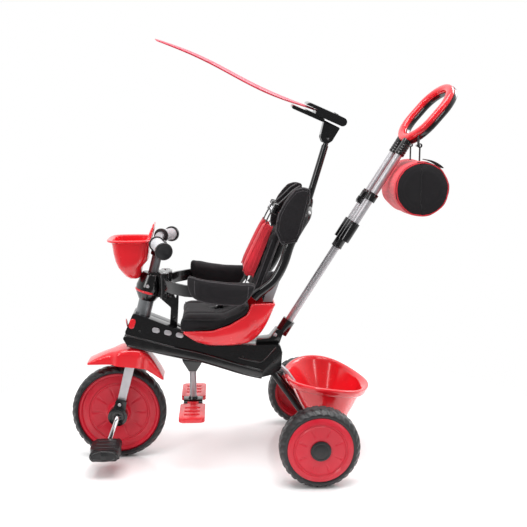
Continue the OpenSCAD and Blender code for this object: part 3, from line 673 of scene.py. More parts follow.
def make_cranks():
    """The chrome axle bent into two cranks, and the pedals' cleats."""
    crank_length, crank_angle = 67, radians(20)
    throw = Vector((sin(crank_angle), 0, -cos(crank_angle))) * crank_length * MM
    hub = FRONT_AXLE
    across = lambda y: Vector((0, y * MM, 0))
    path = []
    for side in (-1, 1):
        half = [hub + across(side * y) for y in (0, 30, 52, 59)]
        half += [hub + side * throw * f + across(side * (62 + 4 * f)) for f in (0.05, 0.2, 0.5, 0.8, 0.95)]
        half += [hub + side * throw + across(side * y) for y in (69, 80, 120, 161)]
        path = path + half if side == 1 else list(reversed(half))[:-1]
    made = tube("cranks", curve_through(path, 5), 6 * MM, (0.94, 0, 0.34))
    finish_piece(made, "front_wheel_set", "chrome", ("crank_axle",), 0)
    for word in ("left", "right"):
        moulded("pedal_" + word, 0.003, "black_matt", 4)
        low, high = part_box("pedal_" + word)
        middle_point = (low + high) / 2
        end = high.y if word == "left" else low.y
        facing = 1 if word == "left" else -1
        oval = [Vector((middle_point.x + 33 * MM * cos(t), end - facing * 0.001,
            middle_point.z + 12 * MM * sin(t)))
            for t in angles(40)]
        finish_piece(tube(f"pedal_rim_{word}", oval, 0.0022, (0, 1, 0), True, 10), word + "_pedal",
            "black_gloss", (), 0)
        cap = lathe(f"pedal_cap_{word}", [(-0.001, 0.0001), (-0.001, 0.0085), (0.0012, 0.0080),
            (0.0022, 0.0055),
            (0.0024, 0.0001)], Vector((middle_point.x, end, middle_point.z)), (0, facing, 0), 32)
        finish_piece(cap, word + "_pedal", "black_matt", (), 40)
        for top in (-1, 1):
            for k in (-1, 0, 1):
                z = middle_point.z + top * 14.6 * MM
                path = [Vector((middle_point.x + x * MM, middle_point.y + k * 22 * MM, z))
                    for x in (-24, -8, 8, 24)]
                rib = sweep(f"pedal_rib_{word}_{top + 1}_{k + 1}", path, ring_section(0.0018, 10), (0, 0, 1))
                finish_piece(rib, word + "_pedal", "black_matt")


# ---- Frame and front end ----


def screw(name, place, axis, radius, body, look="steel_silver"):
    """A domed screw head with a round recess."""
    profile = [(0, 0.0001), (0, radius), (radius * 0.22, radius * 0.97), (radius * 0.45, radius * 0.72),
        (radius * 0.55, radius * 0.4), (radius * 0.3, radius * 0.34), (radius * 0.28, 0.0001)]
    finish_piece(lathe(name, profile, Vector(place), axis, 24), body, look, (), 40)


def stadium(length, width, count=12):
    """An outline with round ends, in its own plane."""
    half = length / 2 - width / 2
    out = [(half + width / 2 * sin(t), width / 2 * cos(t))
        for t in (pi * k / count for k in range(count + 1))]
    return out + [(-a, -b) for a, b in out]


def trim_plate(name, place, along, out, outline, thick, body, look):
    """A thin trim plate standing proud of a surface, with a rounded edge."""
    out = Vector(out).normalized()
    along = Vector(along).normalized()
    across = out.cross(along)
    levels = [(0.0, 1.0), (thick * 0.6, 1.0), (thick * 0.9, 0.94), (thick, 0.84)]
    rings = [[Vector(place) + out * h + along * (a * MM * f) + across * (b * MM * f) for a, b in outline]
        for h, f in levels]
    return finish_piece(loft(name, rings), body, look, (), 50)


def make_frame():
    for n in ("steel_frame", "head_bushes", "canopy_post", "footrest_tube", "steering_column", "rear_axle",
        "frame_pins"):
        carried(n)
    carried("head_tube")
    for n in ("shell_left", "shell_right"):
        moulded(n, 0.0035, "black_gloss", 4)
    moulded("collar", 0.002)
    moulded("crotch_post", 0.002)
    moulded("back_panel", 0.0015)
    moulded("footrest_bracket", 0.003)
    moulded("footrest_hub", 0.0015)
    moulded("bar_socket", 0.0025)
    moulded("basket_bracket", 0.0012)
    for n in ("footplate_left", "footplate_right"):
        moulded(n, 0.0018)
    for side, word in RIGHT_LEFT:
        tilt = Vector((cos(radians(13)), 0, sin(radians(13))))
        for k in range(3):
            place = at(-104 - 30.6 * k, side * 38, 354 - 7 * k)
            trim_plate(f"trim_{word}_{k}", place, tilt, (0, side, 0), stadium(20, 13), 0.0022, "frame",
                "steel_silver")
        for k, (x, z) in enumerate(((-62, 352), (-330, 280), (-410, 262))):
            screw(f"shell_screw_{word}_{k}", at(x, side * 37.8, z), (0, side, 0), 0.0035, "frame",
                "black_matt")
        trim_plate(f"side_badge_{word}", at(-43, side * 37.8, 372), (-0.3, 0, 0.95), (0, side, 0),
            stadium(27, 15), 0.0022,
            "frame", "red_gloss")
        screw(f"collar_screw_{word}", at(-85, side * 32.5, 469), (0, side, 0.1), 0.0048, "frame")
        screw(f"socket_screw_{word}", at(-416, side * 19.6, 333), (0, side, 0), 0.0055, "frame")
        screw(f"post_screw_{word}", at(-150, side * 10.8, 380), (0, side, 0), 0.004, "frame", "black_matt")
    trim_plate("front_badge", at(-26.5, 0, 365), (0.17, 0, 0.98), (0.98, 0, -0.17), stadium(24, 17), 0.002,
        "frame", "red_gloss")


def make_beads():
    """Raised beads along both edges of the shell's band, and a bent one near its rear end."""
    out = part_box("shell_left")[1].y
    lines = {"upper": ([(-24, 343), (-80, 328), (-150, 308), (-224, 290), (-324, 258), (-382, 241)], 0.0012),
        "lower": ([(-28, 315), (-90, 299), (-168, 280), (-224, 268), (-324, 235), (-379, 221)], 0.0012),
        "end": ([(-318, 277), (-352, 268), (-376, 265), (-392, 274), (-404, 288), (-417, 303)], 0.0052)}
    for word, (line, depth) in lines.items():
        for side in (1, -1):
            path = [Vector((at(x, 0, z).x, side * (out - depth), z * MM)) for x, z in line]
            bead = tube(f"shell_bead_{word}_{side + 1}", curve_through(path, 5), 0.0026, (0, 1, 0), False, 12)
            finish_piece(bead, "frame", "black_gloss", (), 0)


def make_stripe():
    """The red line round the front of the collar."""
    ahead = Vector((cos(RAKE), 0, sin(RAKE)))
    centre = on_steering(0.3375)
    path = []
    for k in range(25):
        t = radians(-112 + 224 * k / 24)
        path.append(centre + ahead * (0.0342 * cos(t)) + Vector((0, 0.0342 * sin(t), 0)))
    stripe = sweep("collar_stripe", path, ring_section(0.0021, 10, 1.4), STEERING_AXIS)
    finish_piece(stripe, "frame", "red_gloss", (), 0)


def make_back_frame():
    """The moulded bar behind the backrest: two legs that join at the canopy post's foot."""
    side_points = [(-356, 99, 449), (-366, 99, 459), (-384, 99, 473), (-404, 99, 490), (-420, 99, 514),
        (-434, 99, 545),
        (-448, 99, 588), (-470, 96, 626), (-489, 78, 652), (-497, 42, 665), (-498, 0, 668)]
    left = [at(*p) for p in side_points]
    right = [at(x, -y, z) for x, y, z in reversed(side_points[:-1])]
    path = curve_through(left + right, 6)
    made = sweep("back_bar", path, ring_section(0.0125, 20, 0.8), (0, 1, 0.02))
    finish_piece(made, "frame", "black_gloss", ("back_frame",), 0)
    foot = lathe("post_foot", [(-0.002, 0.0001), (-0.002, 0.0135), (0.004, 0.0145), (0.022, 0.0125),
        (0.030, 0.0098),
        (0.030, 0.0001)], at(-498, 0, 664), at(-551, 0, 846) - at(-498, 0, 668), 32)
    finish_piece(foot, "frame", "black_gloss", (), 40)


def make_fork():
    moulded("fork", 0.0025, "steel_silver")
    moulded("dropout_clips", 0.003)
    for side, word in RIGHT_LEFT:
        screw(f"clip_screw_{word}", at(-6, side * 52.2, 158), (0, side, 0), 0.0045, "steering")
        ring = [(0, 0.0175), (0.0012, 0.0185), (0.0024, 0.0175), (0.0012, 0.0165)]
        made = lathe(f"clip_ring_{word}", ring, at(0, side * 51.8, 125), (0, side, 0), 48)
        finish_piece(made, "steering", "black_matt", (), 0)


FENDER_TOP = [(77, 266), (56, 277), (30, 288), (4, 297), (-14, 302), (-40, 304), (-62, 302), (-78, 291),
    (-92, 273),
    (-104, 254), (-114, 236), (-121, 221)]
FENDER_EDGE = [(76, 262), (52, 262), (28, 262), (6, 261), (-12, 259), (-32, 257), (-56, 254), (-72, 248),
    (-86, 239),
    (-98, 231), (-108, 224), (-117, 218)]


def make_fender():
    """A mudguard skin lofted across its length, wider where it sits over the fork."""
    top = curve_through([at(x, 0, z) for x, z in FENDER_TOP], 3)
    edge = curve_through([at(x, 0, z) for x, z in FENDER_EDGE], 3)
    outer, inner = [], []
    for a, b in zip(top, edge):
        x = (a.x - at(0, 0, 0).x) / MM
        swell = smooth_step(16, -6, x) if x > -30 else 1 - smooth_step(-60, -84, x)
        half = (33 + 13.5 * swell) * MM
        for ring, inset in ((outer, 0.0), (inner, 0.0028)):
            w, up = half - inset, Vector((0, 0, -inset))
            r = min(0.014, (a - b).length * 0.45)
            points = [b + Vector((0, -w, 0)), b.lerp(a, 0.5) + Vector((0, -w, 0))]
            points += [a + up + Vector((0, -w + r - r * cos(t), -r + r * sin(t)))
                for t in (pi / 2 * k / 5 for k in range(6))]
            points += [a + up + Vector((0, 0, 0.0008))]
            points += [Vector((q.x, -q.y, q.z)) for q in reversed(points[:-1])]
            ring.append(points)
    rings = [o + list(reversed(i)) for o, i in zip(outer, inner)]
    made = loft("mudguard", rings)
    finish_piece(made, "steering", "red_gloss", ("fender",), 45)


BAR_POINTS = [(-137, -167, 580.5), (-126, -125, 583.4), (-114, -84, 586.6), (-110, -62, 586),
    (-109.5, -46, 581),
    (-109.5, -32, 578), (-109.5, 0, 577.5)]


def make_handlebar():
    points = [at(*p) for p in BAR_POINTS] + [at(x, -y, z) for x, y, z in reversed(BAR_POINTS[:-1])]
    bar = tube("handlebar_tube", curve_through(points, 6), 11 * MM)
    finish_piece(bar, "steering", "steel_silver", ("handlebar",), 0)
    clamp = lathe("stem_clamp", [(0, 0.0127), (0, 0.0165), (0.002, 0.018), (0.034, 0.018), (0.040, 0.0165),
        (0.043, 0.012), (0.043, 0.0001), (0.018, 0.0001), (0.018, 0.0127)], on_steering(0.434),
        STEERING_AXIS, 40)
    finish_piece(clamp, "steering", "black_gloss", (), 40)
    for side, word in RIGHT_LEFT:
        inside, outside = at(-113.5, side * 78, 586.6), at(-138.5, side * 173, 580.1)
        way = outside - inside
        length = way.length
        profile = [(0, 0.0112), (0, 0.0185), (0.0015, 0.0195), (0.0045, 0.0195), (0.006, 0.0165)]
        ribs = 22
        for k in range(ribs + 1):
            a = 0.008 + (length - 0.022) * k / ribs
            profile += [(a, 0.0160), (a + 0.0014, 0.0160), (a + 0.0020, 0.0154), (a + 0.0028, 0.0154)]
        profile += [(length - 0.0095, 0.0165), (length - 0.009, 0.0112)]
        grip = lathe(f"grip_sleeve_{word}", profile, inside, way, 40)
        finish_piece(grip, "steering", "grip_grey", ("grips",) if side > 0 else (), 30)
        collar = lathe(f"grip_collar_{word}", [(-0.0002, 0.0115), (-0.0002, 0.0187), (0.001, 0.0198),
            (0.005, 0.0198),
            (0.0062, 0.0187), (0.0062, 0.0115)], inside, way, 40)
        finish_piece(collar, "steering", "black_matt", (), 40)
        end = [(length - 0.0095, 0.011), (length - 0.0095, 0.0198), (length - 0.0078, 0.0212),
            (length - 0.0025, 0.0214),
            (length - 0.0006, 0.0200), (length, 0.0180), (length - 0.0008, 0.0160), (length - 0.0008, 0.0001)]
        flange = lathe(f"grip_end_{word}", end, inside, way, 48)
        finish_piece(flange, "steering", "black_matt", (), 40)


def super_oval(cx, half_x, half_y, power, count=72):
    """Plan points of a rounded rectangle (a high power) or an oval (2), in millimetres."""
    out = []
    for t in angles(count):
        c, s = cos(t), sin(t)
        out.append((cx + half_x * abs(c) ** (2 / power) * (1 if c >= 0 else -1),
            half_y * abs(s) ** (2 / power) * (1 if s >= 0 else -1)))
    return out


def make_front_basket():
    """The basket on the handlebar: a deep tub with a rolled rim and a raised back."""
    back_rise, back_lean = 38, -9
    # (height, front x, rear x, half width, roundness)
    outer = [(488, -42, -60, 22, 2.2), (490, -34, -64, 34, 2.4), (496, -27, -66.5, 43, 2.7),
        (506, -19, -69, 50, 3.0),
        (520, -9, -72, 55.5, 3.3), (536, -2.5, -86, 58, 3.6), (556, 1.5, -88.5, 59.5, 3.8),
        (580, 4.5, -91, 60.5, 4),
        (585, 6, -92, 61, 4), (586.5, 13.5, -95.5, 66.5, 4), (588.5, 16.5, -96.3, 70, 4),
        (591, 16.5, -96.3, 70, 4),
        (592.6, 13.5, -95.5, 67, 4), (592.6, 8, -93, 63, 4)]
    inner = [(590, 3.6, -89, 58.5, 4), (580, 1.8, -88, 57.5, 4), (556, -1.2, -85.5, 56.5, 3.8),
        (536, -5.2, -83, 55, 3.6),
        (520, -11.8, -69.2, 52.5, 3.3), (506, -21.5, -66.2, 47.3, 3.0), (497.5, -30, -63.5, 40, 2.7),
        (492.6, -38, -60, 30, 2.4)]
    rings = []
    for z, front, rear, half, power in outer + inner:
        ring = []
        for x, y in super_oval((front + rear) / 2, (front - rear) / 2, half, power):
            back = smooth_step(-78, -94, x) * (1 - smooth_step(30, 46, abs(y))) * smooth_step(584, 592, z)
            ring.append(at(x + back_lean * back, y, z + back_rise * back))
        rings.append(ring)
    made = loft("front_basket_tub", rings)
    finish_piece(made, "steering", "red_gloss", ("front_basket",), 50)


# ---- Rear basket ----


def make_rear_basket():
    """An oval tub whose rim is arched from front to back, with a rolled lip."""
    centre_x, floor_half, top_half = -556, (58, 98), (112, 158)
    bottom, plane_top = 114.5, 240
    arch_r, arch_x, arch_top = 370, -508, 226
    count = 120

    def wall(t, z, inset=0.0):
        f = (z - bottom) / (plane_top - bottom)
        bulge = 5 * sin(pi * max(0, min(1, f)))
        a = floor_half[0] + (top_half[0] - floor_half[0]) * f + bulge - inset
        b = floor_half[1] + (top_half[1] - floor_half[1]) * f + bulge - inset
        return centre_x + a * cos(t), b * sin(t)

    def rim_z(t):
        z = arch_top
        for _ in range(6):
            x = wall(t, z, -8)[0]
            z = arch_top - arch_r + sqrt(arch_r ** 2 - (x - arch_x) ** 2)
        return z

    lip = [(0.0, -19.5), (8.2, -19.0), (10.0, -17.0), (10.6, -9.0), (10.0, -2.0), (8.0, 0.0), (3.0, 0.6),
        (0.0, 0.0), (-2.6, -1.5)]
    def band(share, floor, under_rim, inset):
        """A ring round the wall, at a share of the way from the floor to a height under the rim."""
        ring = []
        for t in angles(count):
            z = floor + (rim_z(t) - under_rim - floor) * share
            x, y = wall(t, z, inset)
            ring.append(at(x, y, z))
        return ring

    outside = (0.0, 0.03, 0.10, 0.25, 0.45, 0.65, 0.82, 0.93)
    inside = (0.93, 0.82, 0.65, 0.45, 0.25, 0.12, 0.06, 0.03)
    rings = [band(share, bottom, 20, 0.0 if share else 6.0) for share in outside]
    for out, down in lip:
        ring = []
        for t in angles(count):
            z = rim_z(t) + down
            x, y = wall(t, z, -out)
            back = max(0, -cos(t)) ** 6 * out / 10.6
            ring.append(at(x - 8 * back, y, z + 3 * back))
        rings.append(ring)
    rings += [band(share, bottom + 3, 4, 3.0 if share > 0.04 else 9.0) for share in inside]
    made = loft("rear_basket_tub", rings)
    finish_piece(made, "frame", "red_gloss", ("rear_basket",), 50)
    clip = prism("basket_clip", rounded([(-424, 240, 3), (-432, 246, 4), (-452, 228, 6), (-474, 196, 4),
        (-470, 190, 3),
        (-446, 219, 6)]), -9, 9)
    finish_piece(soften(clip, 0.0012), "frame", "steel_silver")


# ---- Seat ----


SEAT_BOTTOM = [(-179, 361), (-188, 350), (-204, 337), (-222, 328), (-246, 322), (-275, 320), (-305, 320),
    (-332, 322),
    (-352, 329), (-371, 346), (-387, 371), (-399, 400), (-409, 432)]
SEAT_TOP = [(-179, 365), (-251, 366), (-297, 381), (-342, 408), (-352, 434), (-409, 434)]


def height_at(x, line):
    """The height of a broken line at x."""
    for (x0, z0), (x1, z1) in zip(line, line[1:]):
        if x0 >= x >= x1:
            return z0 + (z1 - z0) * (x0 - x) / max(1e-9, x0 - x1)
    return line[-1][1]


def make_seat_shell():
    """The red bucket under the cushion, skinned across its width and given a wall."""
    rings = []
    for p in curve_through([(x, 0, z) for x, z in SEAT_BOTTOM], 3):
        top = height_at(p.x, SEAT_TOP)
        deep = max(1.0, top - p.z)
        half = 111 - 5 * smooth_step(-330, -409, p.x)
        ring = []
        for k in range(41):
            t = pi * k / 40
            y = -half * (1 if cos(t) > 0 else -1) * abs(cos(t)) ** 0.42
            z = top - deep * sin(t) ** 0.55
            ring.append(at(p.x, y, z))
        rings.append(ring)
    made = build("seat_bucket", [p for ring in rings for p in ring], grid(len(rings), 41))
    thicken(made, 0.003)
    finish_piece(made, "frame", "red_gloss", ("seat_shell",), 60)
    edge = [ring[0] for ring in rings]
    for side in (1, -1):
        rim = tube(f"seat_rim_{side + 1}", [Vector((p.x, p.y * side, p.z)) for p in edge], 0.0024)
        finish_piece(rim, "frame", "red_gloss", (), 0)


def inset(outline, distance):
    """A side-view outline moved inwards by a distance, in millimetres."""
    area = sum(a[0] * b[1] - b[0] * a[1] for a, b in zip(outline, outline[1:] + outline[:1]))
    turn = 1 if area > 0 else -1
    out = []
    for k, p in enumerate(outline):
        before, after = Vector(outline[k - 1][:2]), Vector(outline[(k + 1) % len(outline)][:2])
        way = (after - before).normalized()
        out.append((p[0] - way.y * distance * turn, p[1] + way.x * distance * turn))
    return out


def seam(made, measure, depth, width):
    """Sinks a sewn line into a piece: measure gives a point's distance from it, in millimetres."""
    mesh = made.data
    mesh.update()
    for v in mesh.vertices:
        x, y, z = (v.co.x - at(0, 0, 0).x) / MM, v.co.y / MM, v.co.z / MM
        away = measure(x, y, z)
        if away is not None and abs(away) < 3 * width:
            v.co -= v.normal * depth * exp(-(away / width) ** 2) * MM


def cushion(name, outline, y0, y1, body, look, stands_for=(), cap=0.006, voxel=0.005, shrink=3.0,
    seams=()):
    """A padded piece: its outline shrunk, remeshed, blown up as cloth, and then sewn."""
    small = inset([tuple(p) for p in rounded(outline)], shrink)
    made = prism(name, small, y0 + shrink, y1 - shrink)
    grow(made, cap, voxel)
    made.data.shade_smooth()
    for measure, depth, width in seams:
        seam(made, measure, depth, width)
    refine(made)
    finish_piece(made, body, look, stands_for, 0)
    return made


def edging(name, made, path, body, look="piping_grey", radius=0.0015, closed=True):
    """A thin sewn edging that lies on a soft piece along a path."""
    snapped = []
    for p in path:
        found, place, _, _ = made.closest_point_on_mesh(Vector(p))
        snapped.append(place if found else Vector(p))
    line = curve_through(snapped, 3, closed)
    piping = tube(name, line, radius, (0, 1, 0.01), closed, 8)
    return finish_piece(piping, body, look, (), 0)


def side_ring(outline, y, trim=1.0):
    return [at(x, y, z) for x, z in inset([tuple(p) for p in rounded(outline)], trim)]


SEAT_PAD = [(-163, 367, 10), (-179, 365.5, 0), (-251, 366.5, 0), (-296, 381.5, 0), (-340, 408, 0),
    (-351, 436, 4),
    (-337, 446, 8), (-318, 421, 20), (-280, 403, 20), (-163, 405, 16)]
BACK_PAD = [(-344, 449, 8), (-371, 449, 8), (-436, 620, 6), (-408, 622, 6)]
HEAD_PAD = [(-437, 624, 6), (-462, 624, 6), (-486, 708, 6), (-468, 716, 8)]
WING = [(-406, 620, 14), (-412, 662, 60), (-430, 696, 50), (-456, 726, 14), (-478, 732, 8), (-500, 727, 8),
    (-498, 690, 60), (-477, 612, 10), (-465, 588, 8), (-424, 582, 8)]


def make_seat():
    make_seat_shell()
    seat = cushion("seat_pad", SEAT_PAD, -114, 114, "frame", "fabric_black", ("seat_cushion",), 0.006,
        0.005, 4,
        [(lambda x, y, z: abs(y) - 62 if z > 385 else None, 4, 4),
         (lambda x, y, z: x + 262 if z > 385 and abs(y) < 62 else None, 3, 4),
         (lambda x, y, z: z - (396 + max(0, -250 - x) * 0.35) if abs(y) > 100 else None, 3, 3)])
    for side in (1, -1):
        edging(f"seat_edging_{side + 1}", seat, side_ring(SEAT_PAD, side * 113, 2), "frame",
            "webbing_black", 0.0016)
    back = cushion("back_pad", BACK_PAD, -87, 87, "frame", "fabric_black", ("back_cushion",), 0.005, 0.005,
        3,
        [(lambda x, y, z: (z - 465) % 42 - 21 if 470 < z < 612 and x > -419 + (620 - z) * 0.36
        else None, 3, 3.5),
         (lambda x, y, z: abs(y) - 58 if 455 < z < 615 else None, 3, 3.5)])
    for side in (1, -1):
        edging(f"back_edging_{side + 1}", back, side_ring(BACK_PAD, side * 86, 2), "frame", "piping_grey",
            0.0012)
    cushion("head_pad", HEAD_PAD, -88, 88, "frame", "fabric_black", ("headrest",), 0.005, 0.005, 3,
        [(lambda x, y, z: abs(y) - 48, 3, 3.5)])
    for side, word in LEFT_RIGHT:
        y0, y1 = sorted((side * 90, side * 114))
        wing = cushion("head_wing_" + word, WING, y0, y1, "frame", "fabric_black", (), 0.004, 0.004, 2)
        edging(f"wing_edging_{word}", wing, side_ring(WING, side * 114, 1.5), "frame", "piping_grey", 0.0013)
        edging(f"wing_stitch_{word}", wing, side_ring(WING, side * 115, 11), "frame", "piping_grey", 0.0006)


PAD_SIDE = [(-386, 641, 8), (-328, 520, 10), (-333, 498, 8), (-360, 498, 6), (-410, 624, 8)]


def strap(name, path, width, thick, body, up, look="webbing_black", stands_for=()):
    """Flat webbing with slightly rounded edges along a path."""
    a, b = width / 2 * MM, thick / 2 * MM
    section = [(-a, -b * 0.5), (-a * 0.93, -b), (a * 0.93, -b), (a, -b * 0.5), (a, b * 0.5), (a * 0.93, b),
        (-a * 0.93, b),
        (-a, b * 0.5)]
    made = sweep(name, curve_through(path, 6), section, up)
    return finish_piece(made, body, look, stands_for, 40)


def make_harness():
    """Red shoulder pads, their webbing, and the buckles."""
    for side, word in LEFT_RIGHT:
        y = side * 46
        y0, y1 = y - 23, y + 23
        pad = cushion("shoulder_pad_" + word, PAD_SIDE, y0, y1, "frame", "fabric_red",
            ("harness_pads",) if side > 0 else (), 0.003, 0.004, 2)
        edging(f"pad_edging_{word}", pad, side_ring(PAD_SIDE, y + side * 22, 1.5), "frame", "fabric_red",
            0.0013)
        edging(f"pad_fold_{word}", pad, [at(-350 - k * 4.6, y + side * 26, 512 + k * 11)
            for k in range(11)], "frame",
            "fabric_red", 0.0010, False)
        front = [(-390, 628), (-396, 644), (-406, 662), (-420, 678), (-440, 696), (-462, 717), (-480, 728)]
        strap(f"shoulder_web_{word}", [at(x + 2.5, y, z) for x, z in front], 24, 1.6, "frame", (0.9, 0, 0.4))
        buckle = prism(f"buckle_{word}", rounded([(-402, 661, 2), (-412, 684, 2), (-424, 681, 2),
            (-414, 656, 2)]),
            y - 17, y + 17)
        finish_piece(soften(buckle, 0.002), "frame", "black_gloss")
        bar = prism(f"buckle_bar_{word}", rounded([(-405, 667, 1), (-409, 676, 1), (-406, 677, 1),
            (-402, 668, 1)]),
            y - 14, y + 14)
        finish_piece(soften(bar, 0.0008), "frame", "chrome")
        lap = [at(-344, y, 504), at(-337, y * 0.85, 478), at(-318, y * 0.6, 452), at(-300, y * 0.3, 436),
            at(-286, y * 0.1, 428)]
        strap(f"lap_web_{word}", lap, 22, 1.6, "frame", (0.7, 0, 1))
    hub = lathe("harness_buckle", [(0, 0.0001), (0, 0.019), (0.003, 0.021), (0.008, 0.0205), (0.011, 0.018),
        (0.0115, 0.011), (0.0098, 0.0095), (0.0098, 0.0001)], at(-281, 0, 415), (0.75, 0, 0.66), 40)
    finish_piece(hub, "frame", "black_gloss", (), 40)
    button = lathe("harness_button", [(0, 0.0001), (0, 0.0088), (0.0018, 0.0082), (0.0024, 0.005),
        (0.0024, 0.0001)],
        at(-281, 0, 415) + Vector((0.75, 0, 0.66)) * 0.0098, (0.75, 0, 0.66), 32)
    finish_piece(button, "frame", "red_gloss", (), 40)
    crotch = [at(-283, 0, 416), at(-262, 0, 408), at(-238, 0, 404.5), at(-212, 0, 405)]
    strap("crotch_web", crotch, 24, 1.6, "frame", (0, 0, 1))


# ---- Guard ring ----


SLEEVE_TOP = [(-189, 506), (-194, 515), (-240, 507), (-290, 500.5), (-340, 497), (-357, 494), (-360, 489)]
SLEEVE_BOTTOM = [(-189, 485), (-196, 465), (-208, 452), (-232, 443), (-262, 437.5), (-300, 435),
    (-328, 435), (-350, 462),
    (-360, 486)]


def make_guards():
    """Padded sleeves on the guard ring's arms."""
    for side, word in LEFT_RIGHT:
        moulded("guard_arm_" + word, 0.0018)
        rings, upper, lower = [], [], []
        for k in range(30):
            x = -190 - 168 * k / 29
            top, bottom = height_at(x, SLEEVE_TOP), height_at(x, SLEEVE_BOTTOM)
            outer = 131 + 18 * smooth_step(-186, -222, x) + 2 * smooth_step(-222, -360, x)
            inner = 106 + 6 * smooth_step(-186, -222, x) + 4 * smooth_step(-222, -360, x)
            ring = []
            for t in angles(28):
                c, s = cos(t), sin(t)
                y = (outer + inner) / 2 + (outer - inner) / 2 * 0.86 * (1 if c > 0 else -1) * abs(c) ** 0.6
                z = (top + bottom) / 2 + (top - bottom) / 2 * 0.95 * (1 if s > 0 else -1) * abs(s) ** 0.7
                ring.append(at(x, side * y, z))
            rings.append(ring)
            upper.append(at(x, side * (outer - 3), top - 2))
            lower.append(at(x, side * (outer - 3), bottom + 2))
        made = grow(loft("guard_sleeve_pad_" + word, rings), 0.003, 0.004)
        refine(made)
        finish_piece(made, word + "_guard", "fabric_black", ("guard_sleeve_" + word,), 0)
        loop = upper + list(reversed(lower))
        edging(f"sleeve_edging_{word}", made, loop[::2], word + "_guard", "piping_grey", 0.0013)
        for place in (0.06, 0.9):
            x = -190 - 168 * place
            top, bottom = height_at(x, SLEEVE_TOP), height_at(x, SLEEVE_BOTTOM)
            line = [at(x, side * 156, bottom + 4 + (top - bottom - 8) * j / 8) for j in range(9)]
            edging(f"sleeve_hem_{word}_{int(place * 100)}", made, line, word + "_guard", "piping_grey",
                0.0009, False)


# ---- Push bar and handle ----


LEAN, TURN, LOOP_LEAN = radians(32.2), radians(9.5), radians(9)
BAR_TURN = Matrix.Rotation(-LEAN, 3, "Y") @ Matrix.Rotation(TURN, 3, "Z")
LOOP_TURN = Matrix.Rotation(-LOOP_LEAN, 3, "Y")


def on_bar(x, y, z):
    """A point in the push bar's frame, in millimetres: z along the bar, y across it."""
    return at(-432.6, 0, 333) + BAR_TURN @ (Vector((x, y, z)) * MM)


def on_loop(x, y, z):
    """A point in the handle loop's frame: z up the loop, x out of its front."""
    p = LOOP_TURN @ Vector((x, y, z))
    return on_bar(p.x, p.y, p.z + 606)


def stadium_path(half, straight, count=28):
    """The loop's middle line: (y, z, outward y, outward z), from the bottom and round."""
    out = []
    for k in range(count):
        t = -pi + pi * k / count
        out.append((half * cos(t), half + half * sin(t), cos(t), sin(t)))
    for k in range(5):
        out.append((half, half + straight * k / 5, 1, 0))
    for k in range(count):
        t = pi * k / count
        out.append((half * cos(t), half + straight + half * sin(t), cos(t), sin(t)))
    for k in range(5):
        out.append((-half, half + straight * (1 - k / 5), -1, 0))
    return out


def ring_half(name, section, look, stands_for):
    """Half of the handle loop: section is (outwards, forwards) offsets."""
    rings = [[on_loop(forward, y + out_y * out, z + out_z * out) for out, forward in section]
        for y, z, out_y, out_z in stadium_path(66, 34)]
    return finish_piece(loft(name, rings, True), "push_handle", look, stands_for, 45)


def make_handle():
    for n in ("lower_bar", "twin_tubes"):
        carried(n, "steel_silver")
    moulded("bar_clamp", 0.0015)
    moulded("coupler", 0.0015)
    moulded("height_button", 0.0006)
    black = [(12.5, -0.2), (12.5, -6), (11.5, -10), (9, -13), (5, -14), (-5, -14), (-9, -13), (-11.5, -10),
        (-12.5, -6),
        (-12.5, -0.2)]
    red = [(-10.2, 0), (-10.8, 0.8), (-11, 5), (-10, 9.5), (-7.5, 12.4), (-3, 13.6), (3, 13.6), (7.5, 12.4),
        (10, 9.5),
        (11, 5), (10.8, 0.8), (10.2, 0)]
    ring_half("loop_back", black, "black_gloss", ("handle_loop",))
    ring_half("loop_front", red, "red_gloss", ("handle_grip",))
    for k, y in enumerate((-21.3, 21.3)):
        profile = [(0, 0.0097), (0, 0.0122), (0.0015, 0.0130)]
        for j in range(4):
            a = 0.006 + 0.007 * j
            profile += [(a, 0.0130), (a + 0.001, 0.0124), (a + 0.003, 0.0124), (a + 0.004, 0.0130)]
        profile += [(0.044, 0.0130), (0.0475, 0.0118), (0.0475, 0.0097)]
        way = on_bar(0, y, 700) - on_bar(0, y, 560)
        sleeve = lathe(f"tube_sleeve_{k}", profile, on_bar(0, y, 560), way, 32)
        finish_piece(sleeve, "push_handle", "black_gloss", (), 30)
    web = sweep("sleeve_web", [on_bar(-1, 0, t) for t in (566, 580, 594, 610)],
        [(a * MM, b * MM) for a, b in ((-13, -4), (-13, 4), (-11, 5), (11, 5), (13, 4), (13, -4), (11, -5),
        (-11, -5))],
        BAR_TURN @ Vector((1, 0, 0)))
    finish_piece(web, "push_handle", "black_gloss", (), 40)
    for side in (-1, 1):
        peg = lathe(f"bag_peg_{side + 1}", [(-0.010, 0.0001), (-0.010, 0.0028), (-0.0095, 0.003),
            (0.0085, 0.003),
            (0.009, 0.0042), (0.0105, 0.0042), (0.0112, 0.003), (0.0112, 0.0001)],
            at(-774, side * 54, PEG_Z), (0, side, 0), 24)
        finish_piece(peg, "push_handle", "black_gloss", (), 40)
        lug = [(-774, side * 62, 0), (-773.6 - side, side * 60.5, 10), (-771 - side * 5, side * 56, 27)]
        lug = [at(x, y, PEG_Z + up) for x, y, up in lug]
        made = tube(f"bag_lug_{side + 1}", curve_through(lug, 6), 0.0031, (0, 1, 0))
        finish_piece(made, "push_handle", "black_gloss", (), 0)
    lever = prism_on_bar("coupler_lever", rounded([(-17, 303, 2), (-21, 312, 3), (-21, 330, 3),
        (-16, 338, 2), (-12, 338, 0),
        (-12, 303, 0)]), -7, 7)
    finish_piece(soften(lever, 0.0012), "push_handle", "black_matt")
    band = [on_bar(14.6 * cos(a), 14.6 * sin(a), 276) for a in angles(24)]
    made = tube("bar_band_2", band, 0.0009, BAR_TURN @ UP, True, 8)
    finish_piece(made, "push_handle", "black_gloss", (), 0)


